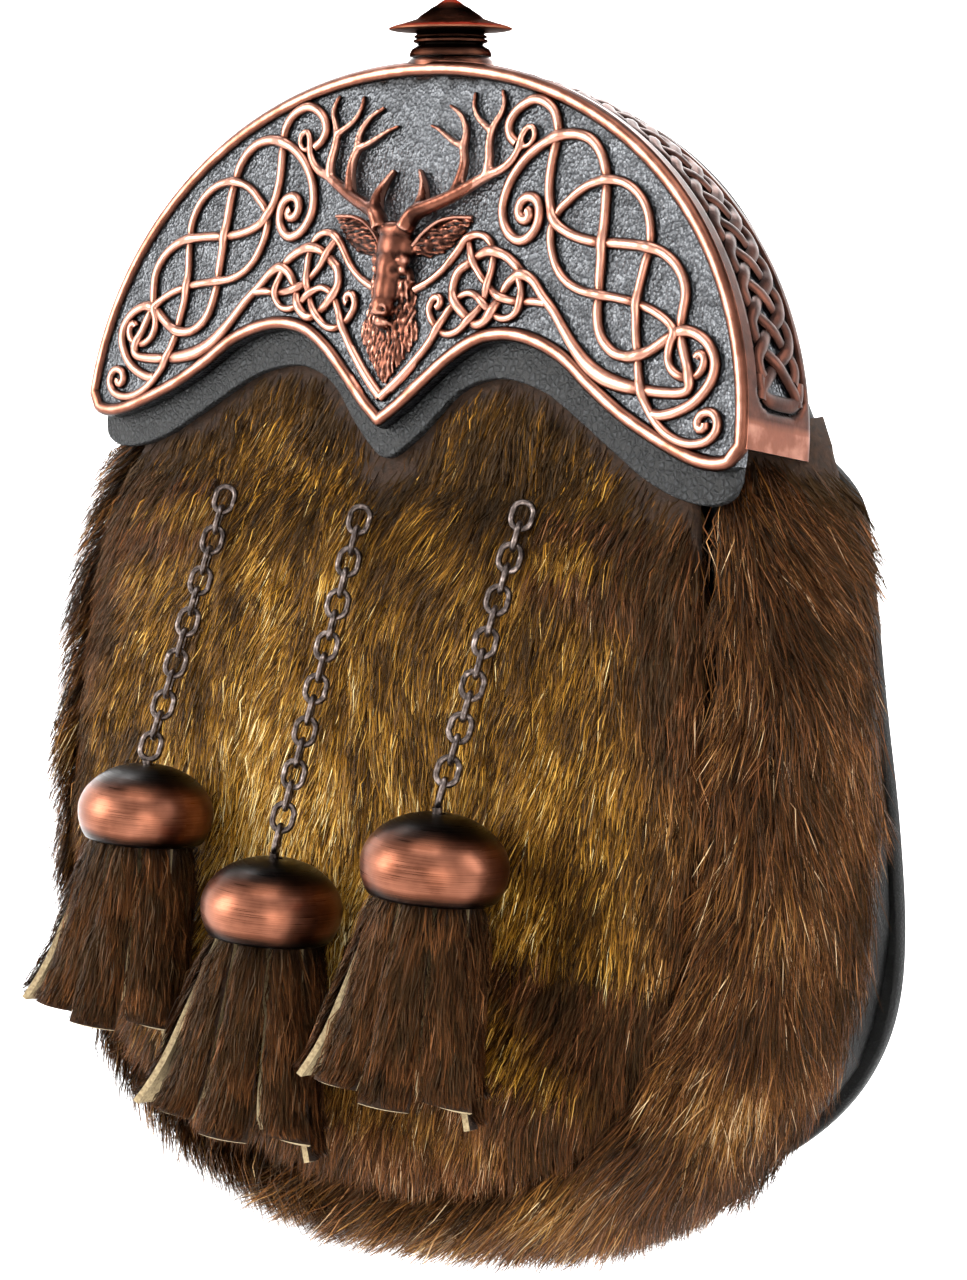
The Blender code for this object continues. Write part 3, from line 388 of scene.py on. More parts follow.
def vertex_value(tree, name):
    return add_node(tree, "Attribute", attribute_name=name).outputs["Fac"]


def speckle(tree, place, scale, detail):
    """Smooth noise with so many cells to the metre: 260 gives one in 3.8 mm."""
    values = [("Scale", scale), ("Detail", detail)]
    return add_node(tree, "TexNoise", values, [("Vector", place)]).outputs["Fac"]


def weighed_sum(tree, value, weight, rest):
    """A value times its weight, added to the rest."""
    links = [(0, value), (2, rest)]
    return add_node(tree, "Math", [(1, weight)], links, operation="MULTIPLY_ADD").outputs[0]


def ramp(tree, value, *stops):
    """Colours at places along a value."""
    return add_node(tree, "ValToRGB", links=[("Fac", value)], stops=stops).outputs["Color"]


def mapped(tree, value, low, high, first, last, **settings):
    """A value between low and high as one between first and last."""
    ends = [("From Min", low), ("From Max", high), ("To Min", first), ("To Max", last)]
    return add_node(tree, "MapRange", ends, [("Value", value)], **settings).outputs["Result"]


def set_grain(tree, shader, height, depth, strength):
    """Gives the shader a relief that is finer than the mesh, with its depth in metres."""
    bump = add_node(tree, "Bump", [("Distance", depth), ("Strength", strength)], [("Height", height)])
    tree.links.new(bump.outputs["Normal"], shader.inputs["Normal"])
    return bump


def cast_copper():
    """Antique copper, cast, blackened and rubbed back: pinkish copper on the crests, black in the corners.

    The ground has a pebbled sand-cast grain of about 0.6 mm that glints silvery where it faces the light.
    """
    material, tree, shader = new_material("antique_copper_casting", 0.34, 1.0)
    place = object_place(tree)
    # The relief value carries the casting's wear, and painted shade on the band behind the face
    relief = vertex_value(tree, "relief")
    worn = weighed_sum(tree, speckle(tree, place, 260.0, 4.0), 0.34, relief)
    colour = ramp(
        tree, worn,
        (0.16, "#5E6063"), (0.36, "#0C0A09"), (0.60, "#38211A"), (0.88, "#784A3A"), (1.00, "#B07F6D"),
    )
    tree.links.new(colour, shader.inputs["Base Color"])
    grain = add_node(tree, "TexVoronoi", [("Scale", 1500.0)], [("Vector", place)], feature="F1")
    height = weighed_sum(tree, speckle(tree, place, 2400.0, 2.0), 0.35, grain.outputs["Distance"])
    bump = set_grain(tree, shader, height, 0.00035, 1.0)
    tree.links.new(mapped(tree, relief, 0.30, 0.05, 0.04, 0.85), bump.inputs["Strength"])
    tree.links.new(mapped(tree, relief, 0.05, 0.9, 0.36, 0.29), shader.inputs["Roughness"])
    return material


def brushed_copper():
    """Antique copper, spun and brushed round its axis: fine rings, darker at the top, and painted shade at
    the mouth.

    The rings are streaks about 0.2 mm across and 17 mm long.
    """
    material, tree, shader = new_material("antique_copper_brushed", 0.40, 1.0)
    rings = add_node(tree, "UVMap", uv_map="rings").outputs["UV"]
    stretch = add_node(tree, "Mapping", [("Scale", (60.0, 5200.0, 1.0))], [("Vector", rings)]).outputs[0]
    brush = speckle(tree, stretch, 1.0, 3.0)
    wear_and_shade = weighed_sum(tree, brush, 0.26, vertex_value(tree, "relief"))
    worn = weighed_sum(tree, speckle(tree, object_place(tree), 190.0, 3.0), 0.30, wear_and_shade)
    colour = ramp(tree, worn, (0.30, "#0A0706"), (0.52, "#25160F"), (0.82, "#613A2A"), (1.00, "#96614C"))
    tree.links.new(colour, shader.inputs["Base Color"])
    tree.links.new(mapped(tree, brush, 0.3, 0.7, 0.26, 0.42), shader.inputs["Roughness"])
    set_grain(tree, shader, brush, 0.00005, 0.5)
    return material


def turned_bronze():
    """Bronze, turned and darkened: near black in the grooves, with copper showing on the worn edges.

    Its tint keeps it dark at grazing angles too, under a patina.
    """
    material, tree, shader = new_material("turned_bronze", 0.46, 1.0)
    shader.inputs["Specular Tint"].default_value = linear("#7A5A4A")
    stain = speckle(tree, object_place(tree), 420.0, 4.0)
    worn = weighed_sum(tree, stain, 0.40, vertex_value(tree, "relief"))
    colour = ramp(tree, worn, (0.20, "#0A0706"), (0.60, "#2A1812"), (0.98, "#543427"), (1.00, "#754A38"))
    tree.links.new(colour, shader.inputs["Base Color"])
    set_grain(tree, shader, stain, 0.00006, 0.4)
    return material


def chain_steel():
    """Steel wire, bent and antiqued: gunmetal with a brown cast, brighter where links rub."""
    material, tree, shader = new_material("antiqued_steel_wire", 0.36, 1.0)
    rub = speckle(tree, object_place(tree), 900.0, 3.0)
    colour = ramp(tree, rub, (0.30, "#2A2422"), (0.55, "#5C524E"), (0.72, "#9A8C86"))
    tree.links.new(colour, shader.inputs["Base Color"])
    set_grain(tree, shader, rub, 0.00005, 0.4)
    return material


def leather(name, dark, light, pebble, depth, roughness, specular):
    """Cowhide, dyed black and finished: a pebbled grain of a given size, lighter on its crowns."""
    material, tree, shader = new_material(name, roughness, 0.0, specular)
    place = object_place(tree)
    warp = add_node(tree, "TexNoise", [("Scale", 0.6 / pebble), ("Detail", 2.0)], [("Vector", place)])
    bent = add_node(
        tree, "VectorMath", [(1, (pebble * 0.9,) * 3)], [(0, warp.outputs["Color"]), (2, place)],
        operation="MULTIPLY_ADD",
    )
    grain = add_node(
        tree, "TexVoronoi", [("Scale", 1.0 / pebble)], [("Vector", bent.outputs[0])],
        feature="DISTANCE_TO_EDGE",
    )
    crown = mapped(
        tree, grain.outputs["Distance"], 0.0, 0.35, 0.0, 1.0, interpolation_type="SMOOTHSTEP"
    )
    tone = weighed_sum(tree, speckle(tree, place, 90.0, 3.0), 0.5, crown)
    tree.links.new(ramp(tree, tone, (0.25, dark), (1.0, light)), shader.inputs["Base Color"])
    set_grain(tree, shader, crown, depth, 0.8)
    return material


def fur(name, roughness, root_dark):
    """Dressed fur: each hair has its own shade between brown and gold, and is dark at the root.

    Its highlights are warm, as the hair's own colour tints the light that comes off it.
    """
    material, tree, shader = new_material(name, roughness, 0.0, 0.3)
    shader.inputs["Specular Tint"].default_value = linear("#F0B878")
    lit = mapped(tree, vertex_value(tree, "along"), 0.0, 0.85, -root_dark, 0.10)
    shade = vertex_value(tree, "shade")
    tone = add_node(tree, "Math", links=[(0, shade), (1, lit)], operation="ADD").outputs[0]
    brown = ramp(
        tree, tone,
        (0.08, "#080403"), (0.30, "#1C0E07"), (0.50, "#3E2212"),
        (0.72, "#6B4024"), (0.92, "#A3744A"), (1.00, "#D3B48E"),
    )
    golden = ramp(
        tree, tone,
        (0.10, "#0A0502"), (0.32, "#291705"), (0.50, "#5A3A0E"),
        (0.70, "#9C6E22"), (0.88, "#DDB055"), (1.00, "#F6E2A8"),
    )
    links = [(0, vertex_value(tree, "gold")), (6, brown), (7, golden)]
    mixed = add_node(tree, "Mix", links=links, data_type="RGBA").outputs[2]
    tree.links.new(mixed, shader.inputs["Base Color"])
    return material


def plain_hide(name, dark, light, grain, roughness):
    """Tanned hide, split and left raw: a matt, slightly fibrous face."""
    material, tree, shader = new_material(name, roughness, 0.0, 0.3)
    fibre = speckle(tree, object_place(tree), 1.0 / grain, 5.0)
    tree.links.new(ramp(tree, fibre, (0.3, dark), (0.7, light)), shader.inputs["Base Color"])
    set_grain(tree, shader, fibre, grain * 0.4, 0.6)
    return material


def object_of(name, mesh, *materials):
    """An object of a mesh in the scene, with its materials."""
    for material in materials:
        mesh.materials.append(material)
    obj = bpy.data.objects.new(name, mesh)
    bpy.context.scene.collection.objects.link(obj)
    return obj


def mesh_of(name, bm, sharp_deg=40.0):
    """The mesh of a bmesh, shaded smooth up to an angle. The bmesh is freed."""
    mesh = bpy.data.meshes.new(name)
    bm.to_mesh(mesh)
    bm.free()
    mesh.shade_smooth()
    mesh.set_sharp_from_angle(angle=math.radians(sharp_deg))
    return mesh


def joined(parts):
    """One bmesh of several, each of which is freed."""
    whole = bmesh.new()
    for part in parts:
        held = bpy.data.meshes.new("held")
        part.to_mesh(held)
        part.free()
        whole.from_mesh(held)
        bpy.data.meshes.remove(held)
    return whole


def applied(obj):
    """The object's mesh with its modifiers worked in. The object is removed."""
    bpy.context.view_layer.update()
    found = obj.evaluated_get(bpy.context.evaluated_depsgraph_get())
    mesh = bpy.data.meshes.new_from_object(found)
    mesh.name = obj.name
    bpy.data.objects.remove(obj, do_unlink=True)
    return mesh


def set_value(mesh, name, values):
    """A number on each vertex, which a material reads."""
    layer = mesh.attributes.new(name, "FLOAT", "POINT")
    layer.data.foreach_set("value", np.asarray(values, np.float32))


def places_of(mesh):
    points = np.empty(len(mesh.vertices) * 3, np.float32)
    mesh.vertices.foreach_get("co", points)
    return points.reshape(-1, 3)


def merged_copy(node):
    """A bmesh of a frame node with its loose triangles merged."""
    bm = bmesh.new()
    bm.from_mesh(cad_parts[node].data)
    bmesh.ops.remove_doubles(bm, verts=bm.verts, dist=1e-6)
    return bm


def catmull_rom(a, b, c, d, t):
    """A point between b and c on the smooth curve through four points."""
    return (b * 2 + (c - a) * t + (a * 2 - b * 5 + c * 4 - d) * t**2 + (b * 3 - a - c * 3 + d) * t**3) / 2


def smooth_line(points, step, closed=False):
    """Evenly spaced points on a Catmull-Rom curve through the given points."""
    points = [Vector(p) for p in points]
    if closed:
        line = [points[-1]] + points + points[:2]
    else:
        line = [points[0] * 2 - points[1]] + points + [points[-1] * 2 - points[-2]]
    fine = []
    for a, b, c, d in zip(line, line[1:], line[2:], line[3:]):
        fine += [catmull_rom(a, b, c, d, k / 12) for k in range(12)]
    fine.append(fine[0] if closed else points[-1])
    return resample(fine, step, closed)


def resample(fine, step, closed=False):
    lengths = np.concatenate([[0.0], np.cumsum([(b - a).length for a, b in zip(fine, fine[1:])])])
    count = max(3, round(lengths[-1] / step))
    found = []
    for at in np.linspace(0, lengths[-1], count + 1)[: count if closed else count + 1]:
        k = min(len(fine) - 2, max(0, int(np.searchsorted(lengths, at, "right")) - 1))
        span = max(1e-12, lengths[k + 1] - lengths[k])
        found.append(fine[k].lerp(fine[k + 1], (at - lengths[k]) / span))
    return found


def heading(points, k):
    """The way along an open row of points at one of them."""
    return points[min(k + 1, len(points) - 1)] - points[max(k - 1, 0)]


def section_frame(place, along, out, half_width, half_height):
    """A frame across a strand: X over its width, Y over its height, Z along it."""
    along = along.normalized()
    side = out.cross(along).normalized()
    up = along.cross(side)
    return Matrix(
        (
            (side.x * half_width, up.x * half_height, along.x, place.x),
            (side.y * half_width, up.y * half_height, along.y, place.y),
            (side.z * half_width, up.z * half_height, along.z, place.z),
            (0, 0, 0, 1),
        )
    )


def sweep(frames, sides, closed=False):
    """A tube drawn through a row of frames across it."""
    bm = bmesh.new()
    bmesh.ops.create_circle(bm, segments=sides, radius=1.0, cap_ends=not closed, matrix=frames[0])
    first = list(bm.edges)
    ring = first
    for before, here in zip(frames, frames[1:]):
        made = bmesh.ops.extrude_edge_only(bm, edges=ring)["geom"]
        step = here @ before.inverted()
        for vert in made:
            if isinstance(vert, bmesh.types.BMVert):
                vert.co = step @ vert.co
        ring = [edge for edge in made if isinstance(edge, bmesh.types.BMEdge) and edge.is_boundary]
    if closed:
        bmesh.ops.bridge_loops(bm, edges=first + ring)
    else:
        bmesh.ops.holes_fill(bm, edges=ring, sides=sides)
    bmesh.ops.recalc_face_normals(bm, faces=bm.faces)
    return bm


def spun(rows, steps, axis_frame):
    """A profile of (radius, height) turned about a frame's Z, and closed if it starts off the axis."""
    bm = bmesh.new()
    verts = [bm.verts.new((radius, 0, height)) for radius, height in rows]
    for a, b in zip(verts, verts[1:]):
        bm.edges.new((a, b))
    if rows[0][0] > 0:
        bm.edges.new((verts[-1], verts[0]))
    bmesh.ops.spin(
        bm, geom=list(bm.verts) + list(bm.edges), cent=(0, 0, 0), axis=(0, 0, 1), angle=2 * math.pi,
        steps=steps, use_merge=True,
    )
    bmesh.ops.remove_doubles(bm, verts=bm.verts, dist=1e-7)
    bmesh.ops.recalc_face_normals(bm, faces=bm.faces)
    bmesh.ops.transform(bm, matrix=axis_frame, verts=bm.verts)
    return bm


def smoothed(bm, rounds):
    """Rounds off a mesh, as often as asked."""
    for _ in range(rounds):
        bmesh.ops.smooth_vert(
            bm, verts=bm.verts, factor=0.5, use_axis_x=True, use_axis_y=True, use_axis_z=True
        )


def round_edges(bm, edges, radius):
    """Rounds the cut edges of a leather piece."""
    bmesh.ops.bevel(
        bm, geom=edges, offset=radius, segments=3, profile=0.5, affect="EDGES", material=-1,
        clamp_overlap=True,
    )
    bmesh.ops.recalc_face_normals(bm, faces=bm.faces)


def on_face(points):
    """Points in the cantle's own frame: across, up from the tips and out of the face's front."""
    inverse = np.array(FACE.inverted())
    return points @ inverse[:3, :3].T + inverse[:3, 3]


def arch(step=0.0012):
    """The arch on the face from the right tip over the top to the left tip."""
    wide = CANTLE_WIDTH / 2
    tall = CANTLE_HEIGHT + ARCH_DROP
    power = 2 / ARCH_SQUARENESS
    first = math.asin((1.6 * ARCH_DROP / tall) ** (1 / power))
    fine = []
    for i in range(400):
        angle = first + (math.pi - 2 * first) * i / 399
        side = math.copysign(abs(math.cos(angle)) ** power, math.cos(angle))
        fine.append(Vector((wide * side, tall * math.sin(angle) ** power - ARCH_DROP)))
    return resample(fine, step)


def lower_edge(step=0.0012):
    """The cantle's lower edge from the left tip to the right tip."""
    half = CANTLE_WIDTH / 2
    right = [Vector((u * half, v * CANTLE_HEIGHT)) for u, v in EDGE_ROWS]
    point = right[-1]
    leg = smooth_line(right, step)
    left = [Vector((-p.x, p.y)) for p in leg]
    left[-1] = point
    return left + leg[-2::-1]


def drawn_in(outline, distance):
    """A closed outline moved inwards. It runs counter-clockwise, seen from the front."""
    found = []
    for i, here in enumerate(outline):
        before = (here - outline[i - 1]).normalized()
        after = (outline[(i + 1) % len(outline)] - here).normalized()
        middle = (before + after).normalized()
        inward = Vector((-middle.y, middle.x))
        widen = max(0.6, inward.dot(Vector((-before.y, before.x))))
        found.append(here + inward * distance / widen)
    return found


def band_depth(v):
    """How deep the band is at a height on the face: it narrows from the tips to the top."""
    return BAND_DEPTH_TIP + (BAND_DEPTH_TOP - BAND_DEPTH_TIP) * max(0.0, v) / CANTLE_HEIGHT


def crossings(lines):
    """Where lines on a plane cross: two pairs of a line's number and the place along it."""
    found = []
    flat = [np.array([(p.x, p.y) for p in line]) for line in lines]
    for a, first in enumerate(flat):
        p, r = first[:-1, None], np.diff(first, axis=0)[:, None]
        for b in range(a, len(flat)):
            q, s = flat[b][None, :-1], np.diff(flat[b], axis=0)[None]
            cross = r[..., 0] * s[..., 1] - r[..., 1] * s[..., 0]
            gap = q - p
            with np.errstate(divide="ignore", invalid="ignore"):
                t = (gap[..., 0] * s[..., 1] - gap[..., 1] * s[..., 0]) / cross
                w = (gap[..., 0] * r[..., 1] - gap[..., 1] * r[..., 0]) / cross
            hit = (t >= 0) & (t < 1) & (w >= 0) & (w < 1)
            for i, j in zip(*np.nonzero(hit)):
                if a != b or j > i + 3:
                    found.append(((a, i + t[i, j]), (b, j + w[i, j])))
    return found


def weave(lines, step):
    """Lifts for each line's points: up where it crosses over another, down where it crosses under."""
    found = crossings(lines)
    lifts = [np.zeros(len(line)) for line in lines]
    over = {}
    for number, line in enumerate(lines):
        ends = [(k, end, pair[end]) for k, pair in enumerate(found) for end in (0, 1)]
        met = sorted((place, k, end) for k, end, (which, place) in ends if which == number)
        last = -1
        for place, k, end in met:
            if k not in over:
                over[k] = end if last < 0 else 1 - end
            last = 1 if over[k] == end else -1
            reach = (np.arange(len(line)) - place) * step / CROSSING_REACH
            lifts[number] += last * np.exp(-(reach**2))
    return [np.clip(lift, -0.8, 1.0) * CROSSING_LIFT for lift in lifts]


def strand_lines(sign):
    """The strands' middle lines on one half of the face, which the sign picks."""
    return [
        smooth_line([(sign * u * MM, v * MM) for u, v in points], STRAND_STEP) for _, _, points in STRAND_ROWS
    ]


def face_strands():
    """Interlaced strands on both halves of the face. The one with a wide end swells along its lowest run."""
    parts = []
    for sign in (-1, 1):
        lines = strand_lines(sign)
        for line, lift, (start, end, _) in zip(lines, weave(lines, STRAND_STEP), STRAND_ROWS):
            last = len(line) - 1
            low = STRAND_RISE * 0.3 - RIM_HEIGHT
            placed = [FACE @ Vector((p.x, p.y, low + rise)) for p, rise in zip(line, lift)]
            frames = []
            for k, here in enumerate(placed):
                width = start + (end - start) * min(1.0, k / last * 1.5)
                if end > SWELL_FROM:
                    swell = math.exp(-(((k / last - 0.60) / 0.05) ** 2))
                    width = start + 0.3 + (end - start - 0.3) * swell
                half = width * MM / 2
                frames.append(section_frame(here, heading(placed, k), FACE_OUT, half, STRAND_RISE * 0.8))
            parts.append(sweep(frames, STRAND_SIDES))
    return parts


def antler_tubes():
    """The antlers as round tubes, each deep enough to stand on the ground of the face."""
    parts = []
    for sign in (-1, 1):
        for start, end, points in ANTLER_ROWS:
            line = smooth_line([(sign * u * MM, v * MM, rise * MM) for u, v, rise in points], 0.0009)
            placed = [FACE @ Vector((p.x, p.y, p.z - 0.0004)) for p in line]
            last = len(line) - 1
            frames = []
            for k, here in enumerate(placed):
                width = (start + (end - start) * (k / last) ** 0.8) * MM
                rise = max(width, line[k].z + RIM_HEIGHT * 1.2)
                low = here - FACE_OUT * (rise - width) / 2
                frames.append(section_frame(low, heading(placed, k), FACE_OUT, width / 2, rise / 2))
            parts.append(sweep(frames, 12))
    return parts


def stag_masses():
    """Rounded masses of the skull, muzzle, cheeks and eyes."""
    parts = []
    rows = list(HEAD_MASSES)
    for across, *rest in PAIRED_MASSES:
        rows += [(across, *rest), (-across, *rest)]
    for across, up, out, *sizes in rows:
        bm = bmesh.new()
        place = FACE @ Matrix.Translation((across * MM, up * MM, out * MM - RIM_HEIGHT))
        shape = Matrix.Diagonal((sizes[0] * MM, sizes[1] * MM, sizes[2] * MM, 1))
        bmesh.ops.create_uvsphere(bm, u_segments=24, v_segments=14, radius=1.0, matrix=place @ shape)
        parts.append(bm)
    return parts


def half_round(rows):
    """A mass with half-round sections across the face, from (across, up, half width, rise) rows."""
    placed = [FACE @ Vector((across * MM, up * MM, -RIM_HEIGHT)) for across, up, _, _ in rows]
    frames = [
        section_frame(here, heading(placed, k), FACE_OUT, half * MM, rise * MM)
        for k, (here, (_, _, half, rise)) in enumerate(zip(placed, rows))
    ]
    return sweep(frames, 16)


def carve_head(bm):
    """Presses the hollows into the head, and cuts hair into the chest and the ears."""
    inverse = FACE.inverted()
    bm.normal_update()
    for vert in bm.verts:
        here = inverse @ vert.co / MM
        for across, up, wide, tall, depth in HEAD_HOLLOWS:
            gap = ((abs(here.x) - across) / wide) ** 2 + ((here.y - up) / tall) ** 2
            if gap < 4 and here.z > 1.0:
                vert.co -= FACE_OUT * (depth * MM * math.exp(-gap))
        ear = abs(here.x) > EAR_INNER and EAR_LOW < here.y < EAR_TOP and here.z < EAR_OUT
        hair = here.y < HAIR_TOP and here.z < HAIR_OUT
        if hair or ear:
            grain = (here.x * 2.4, here.y * 0.7, 1.0) if hair else (here.x * 0.6, here.y * 2.6, 1.0)
            vert.co += vert.normal * noise.noise(Vector(grain)) * HAIR_CUT


def stag_relief():
    """The head, antlers, ears and chest melted into one casting, with a rim along each ear."""
    parts = antler_tubes() + stag_masses()
    ups, halves, rises = ([row[k] for row in CHEST_ROWS][::-1] for k in range(3))
    chest = smooth_line([(0, up, 0) for up, _, _ in CHEST_ROWS], 1.0)
    rows = [(0, p.y, np.interp(p.y, ups, halves), np.interp(p.y, ups, rises)) for p in chest]
    parts.append(half_round(rows))
    for sign in (-1, 1):
        parts.append(half_round([(sign * u, v, half, rise) for u, v, half, rise in EAR_ROWS]))
    obj = object_of("stag_relief", mesh_of("stag_relief", joined(parts)))
    remesh = obj.modifiers.new("melt", "REMESH")
    remesh.mode = "VOXEL"
    remesh.voxel_size = REMESH_VOXEL
    remesh.use_smooth_shade = True
    mesh = applied(obj)
    bm = bmesh.new()
    bm.from_mesh(mesh)
    bpy.data.meshes.remove(mesh)
    smoothed(bm, 2)
    carve_head(bm)
    parts = [bm]
    for sign in (-1, 1):
        rim = [(sign * u, v + half * 0.92, rise * 0.75) for u, v, half, rise in EAR_ROWS]
        placed = [FACE @ Vector((p.x * MM, p.y * MM, p.z * MM - RIM_HEIGHT)) for p in smooth_line(rim, 0.8)]
        frames = [
            section_frame(here, heading(placed, k), FACE_OUT, 0.0004, 0.0006) for k, here in enumerate(placed)
        ]
        parts.append(sweep(frames, 8))
    return joined(parts)


def band_surface():
    """The arch with its outward directions, and the length along it at each point."""
    line = arch(step=0.0008)
    outs = []
    for k in range(len(line)):
        along = heading(line, k)
        outs.append(Vector((along.y, -along.x)).normalized())
    lengths = np.concatenate([[0.0], np.cumsum([(b - a).length for a, b in zip(line, line[1:])])])
    return line, outs, lengths


def on_band(surface, at, depth, rise):
    """A point on the band: length along the arch, depth behind the face, rise above the outline."""
    line, outs, lengths = surface
    k = min(len(line) - 2, max(0, int(np.searchsorted(lengths, at, "right")) - 1))
    t = (at - lengths[k]) / (lengths[k + 1] - lengths[k])
    here = line[k].lerp(line[k + 1], t) + outs[k].lerp(outs[k + 1], t).normalized() * rise
    return FACE @ Vector((here.x, here.y, -depth)), FACE.to_3x3() @ Vector((*outs[k].lerp(outs[k + 1], t), 0))


def panel_gap(surface, at, depth):
    """How far a place on the band lies inside the sunk panel, which has rounded ends."""
    length = surface[2][-1]
    side = min(at, length - at)
    line = surface[0]
    v = line[min(len(line) - 1, int(len(line) * at / length))].y
    low, high = BAND_FRONT_RIM, band_depth(v) - BAND_REAR_RIM
    across = min(depth - low, high - depth)
    end = side - BAND_PLAIN_END
    corner = (high - low) * 0.30
    if across < corner and end < corner:
        return corner - math.hypot(corner - across, corner - end)
    return min(across, end)


def make_band():
    """The band behind the face: a wall with a sunk panel along its outside, bordered by two rims."""
    surface = band_surface()
    length = surface[2][-1]
    bm = bmesh.new()
    bmesh.ops.create_grid(bm, x_segments=300, y_segments=30, size=0.5)
    for vert in bm.verts:
        at = min(max(0.0, vert.co.x + 0.5), 1.0) * length
        share = vert.co.y + 0.5
        line = surface[0]
        v = line[min(len(line) - 1, int(len(line) * at / length))].y
        depth = BAND_START + share * (band_depth(v) - BAND_START)
        gap = panel_gap(surface, at, depth)
        sunk = BAND_RECESS * min(1.0, max(0.0, gap / BAND_SLOPE))
        round_rear = 0.0007 * max(0.0, 1 - (1 - share) / 0.05) ** 2
        vert.co = on_band(surface, at, depth, -sunk - round_rear)[0]
    bm.normal_update()
    top = max(bm.faces, key=lambda f: f.calc_center_median().z)
    if top.normal.z < 0:
        bmesh.ops.reverse_faces(bm, faces=bm.faces)
    bmesh.ops.solidify(bm, geom=list(bm.faces), thickness=BAND_WALL * 0.55)
    return bm


def band_run(depth):
    """The middle of the sunk panel and the reach of a strand on it, where the band has some depth."""
    middle = (depth - BAND_REAR_RIM + BAND_FRONT_RIM) / 2
    return middle, (depth - BAND_REAR_RIM - BAND_FRONT_RIM) / 2 - BAND_STRAND_WIDTH * 0.62


def band_strand(placed, height):
    """One strand along pairs of a place and the way out there."""
    places = [place for place, _ in placed]
    frames = [
        section_frame(place, heading(places, k), out, BAND_STRAND_WIDTH / 2, height)
        for k, (place, out) in enumerate(placed)
    ]
    return sweep(frames, STRAND_SIDES)


def plait_line(phase, start, length, waves):
    """One strand of the plait as (length along the arch, swing from -1 to 1)."""
    inset = 0.0 if phase in (0.25, 0.75) else BAND_WAVE * 0.16
    line = []
    for k in range(PLAIT_STEPS + 1):
        at = start + inset + (length - 2 * (start + inset)) * k / PLAIT_STEPS
        turn = 2 * math.pi * (waves * (at - start) / (length - 2 * start) + phase)
        line.append(Vector((at, math.sin(turn))))
    return line


def band_strands():
    """Four strands plaited along the sunk panel, which turn back in a loop above each plain end."""
    surface = band_surface()
    length = surface[2][-1]
    start = BAND_PLAIN_END + BAND_STRAND_WIDTH * 0.75
    waves = round((length - 2 * start) / BAND_WAVE - 0.5) + 0.5
    lines = [plait_line(phase, start, length, waves) for phase in (0.25, 0.75, 0.0, 0.5)]
    half = (BAND_DEPTH_TOP - BAND_FRONT_RIM - BAND_REAR_RIM) / 2 - BAND_STRAND_WIDTH * 0.62
    flat = [[Vector((p.x, p.y * half)) for p in line] for line in lines]
    parts = []
    for line, lift in zip(lines, weave(flat, (length - 2 * start) / PLAIT_STEPS)):
        placed = []
        for p, rise in zip(line, lift):
            k = min(len(surface[0]) - 1, int(len(surface[0]) * p.x / length))
            middle, reach = band_run(band_depth(surface[0][k].y))
            placed.append(on_band(surface, p.x, middle + p.y * reach, -0.00062 + rise * 0.8))
        parts.append(band_strand(placed, 0.00075))
    middle, reach = band_run(band_depth(0.0))
    for at, way in ((start, 1), (length - start, -1)):
        placed = []
        for k in range(25):
            angle = math.pi * (k / 24 - 0.5)
            across = math.copysign(abs(math.sin(angle)) ** 0.6, math.sin(angle))
            bulge = abs(math.cos(angle)) ** 0.6
            inward = way * PLAIT_LOOP * (1 - bulge)
            placed.append(on_band(surface, at + inward, middle + across * reach, -0.0006))
        parts.append(band_strand(placed, 0.0007))
    return parts


def make_cantle(material):
    """The whole casting: ground plate, rounded rim, relief, band and the seat of the knob."""
    outline = arch() + lower_edge()[1:-1]
    over = arch()[::-1]
    under = [over[0]] + lower_edge() + [over[-1]]
    reach = lower_edge()[-1].x - GROUND_INSET
    bm = bmesh.new()
    bmesh.ops.create_grid(bm, x_segments=200, y_segments=12, size=1.0)
    for vert in bm.verts:
        x = reach * math.sin(vert.co.x * math.pi / 2)
        low = np.interp(x, [p.x for p in under], [p.y for p in under]) + GROUND_INSET
        high = np.interp(x, [p.x for p in over], [p.y for p in over]) - GROUND_INSET
        vert.co = (x, low + (high - low) * (vert.co.y + 1) / 2, 0)
    bmesh.ops.solidify(bm, geom=list(bm.faces), thickness=FACE_PLATE - RIM_HEIGHT)
    highest = max(vert.co.z for vert in bm.verts)
    bmesh.ops.translate(bm, verts=bm.verts, vec=(0, 0, -RIM_HEIGHT - highest))
    bmesh.ops.recalc_face_normals(bm, faces=bm.faces)
    bmesh.ops.transform(bm, matrix=FACE, verts=bm.verts)
    parts = [bm]

    crest = drawn_in(outline, RIM_WIDTH / 2)
    placed = [FACE @ Vector((p.x, p.y, -RIM_HEIGHT)) for p in crest]
    frames = []
    for k, here in enumerate(placed):
        along = placed[(k + 1) % len(placed)] - placed[k - 1]
        frames.append(section_frame(here, along, FACE_OUT, RIM_WIDTH / 2, RIM_HEIGHT))
    parts.append(sweep(frames, RIM_SIDES, closed=True))
    parts.append(make_band())
    parts += face_strands()
    parts += band_strands()
    parts.append(stag_relief())

    foot = KNOB_AXIS @ Matrix.Translation((0, 0, -CLEAR))
    rows = ((0.0030, -SEAT_DEPTH), (0.0030, 0.0), (0.0074, 0.0), (0.0079, -0.0006), (0.0080, -SEAT_DEPTH))
    parts.append(spun(rows, KNOB_STEPS, foot))

    mesh = mesh_of("cantle_casting", joined(parts), 50.0)
    casting = object_of("cantle_casting", mesh, material)
    set_value(mesh, "relief", relief_of(mesh))
    return casting


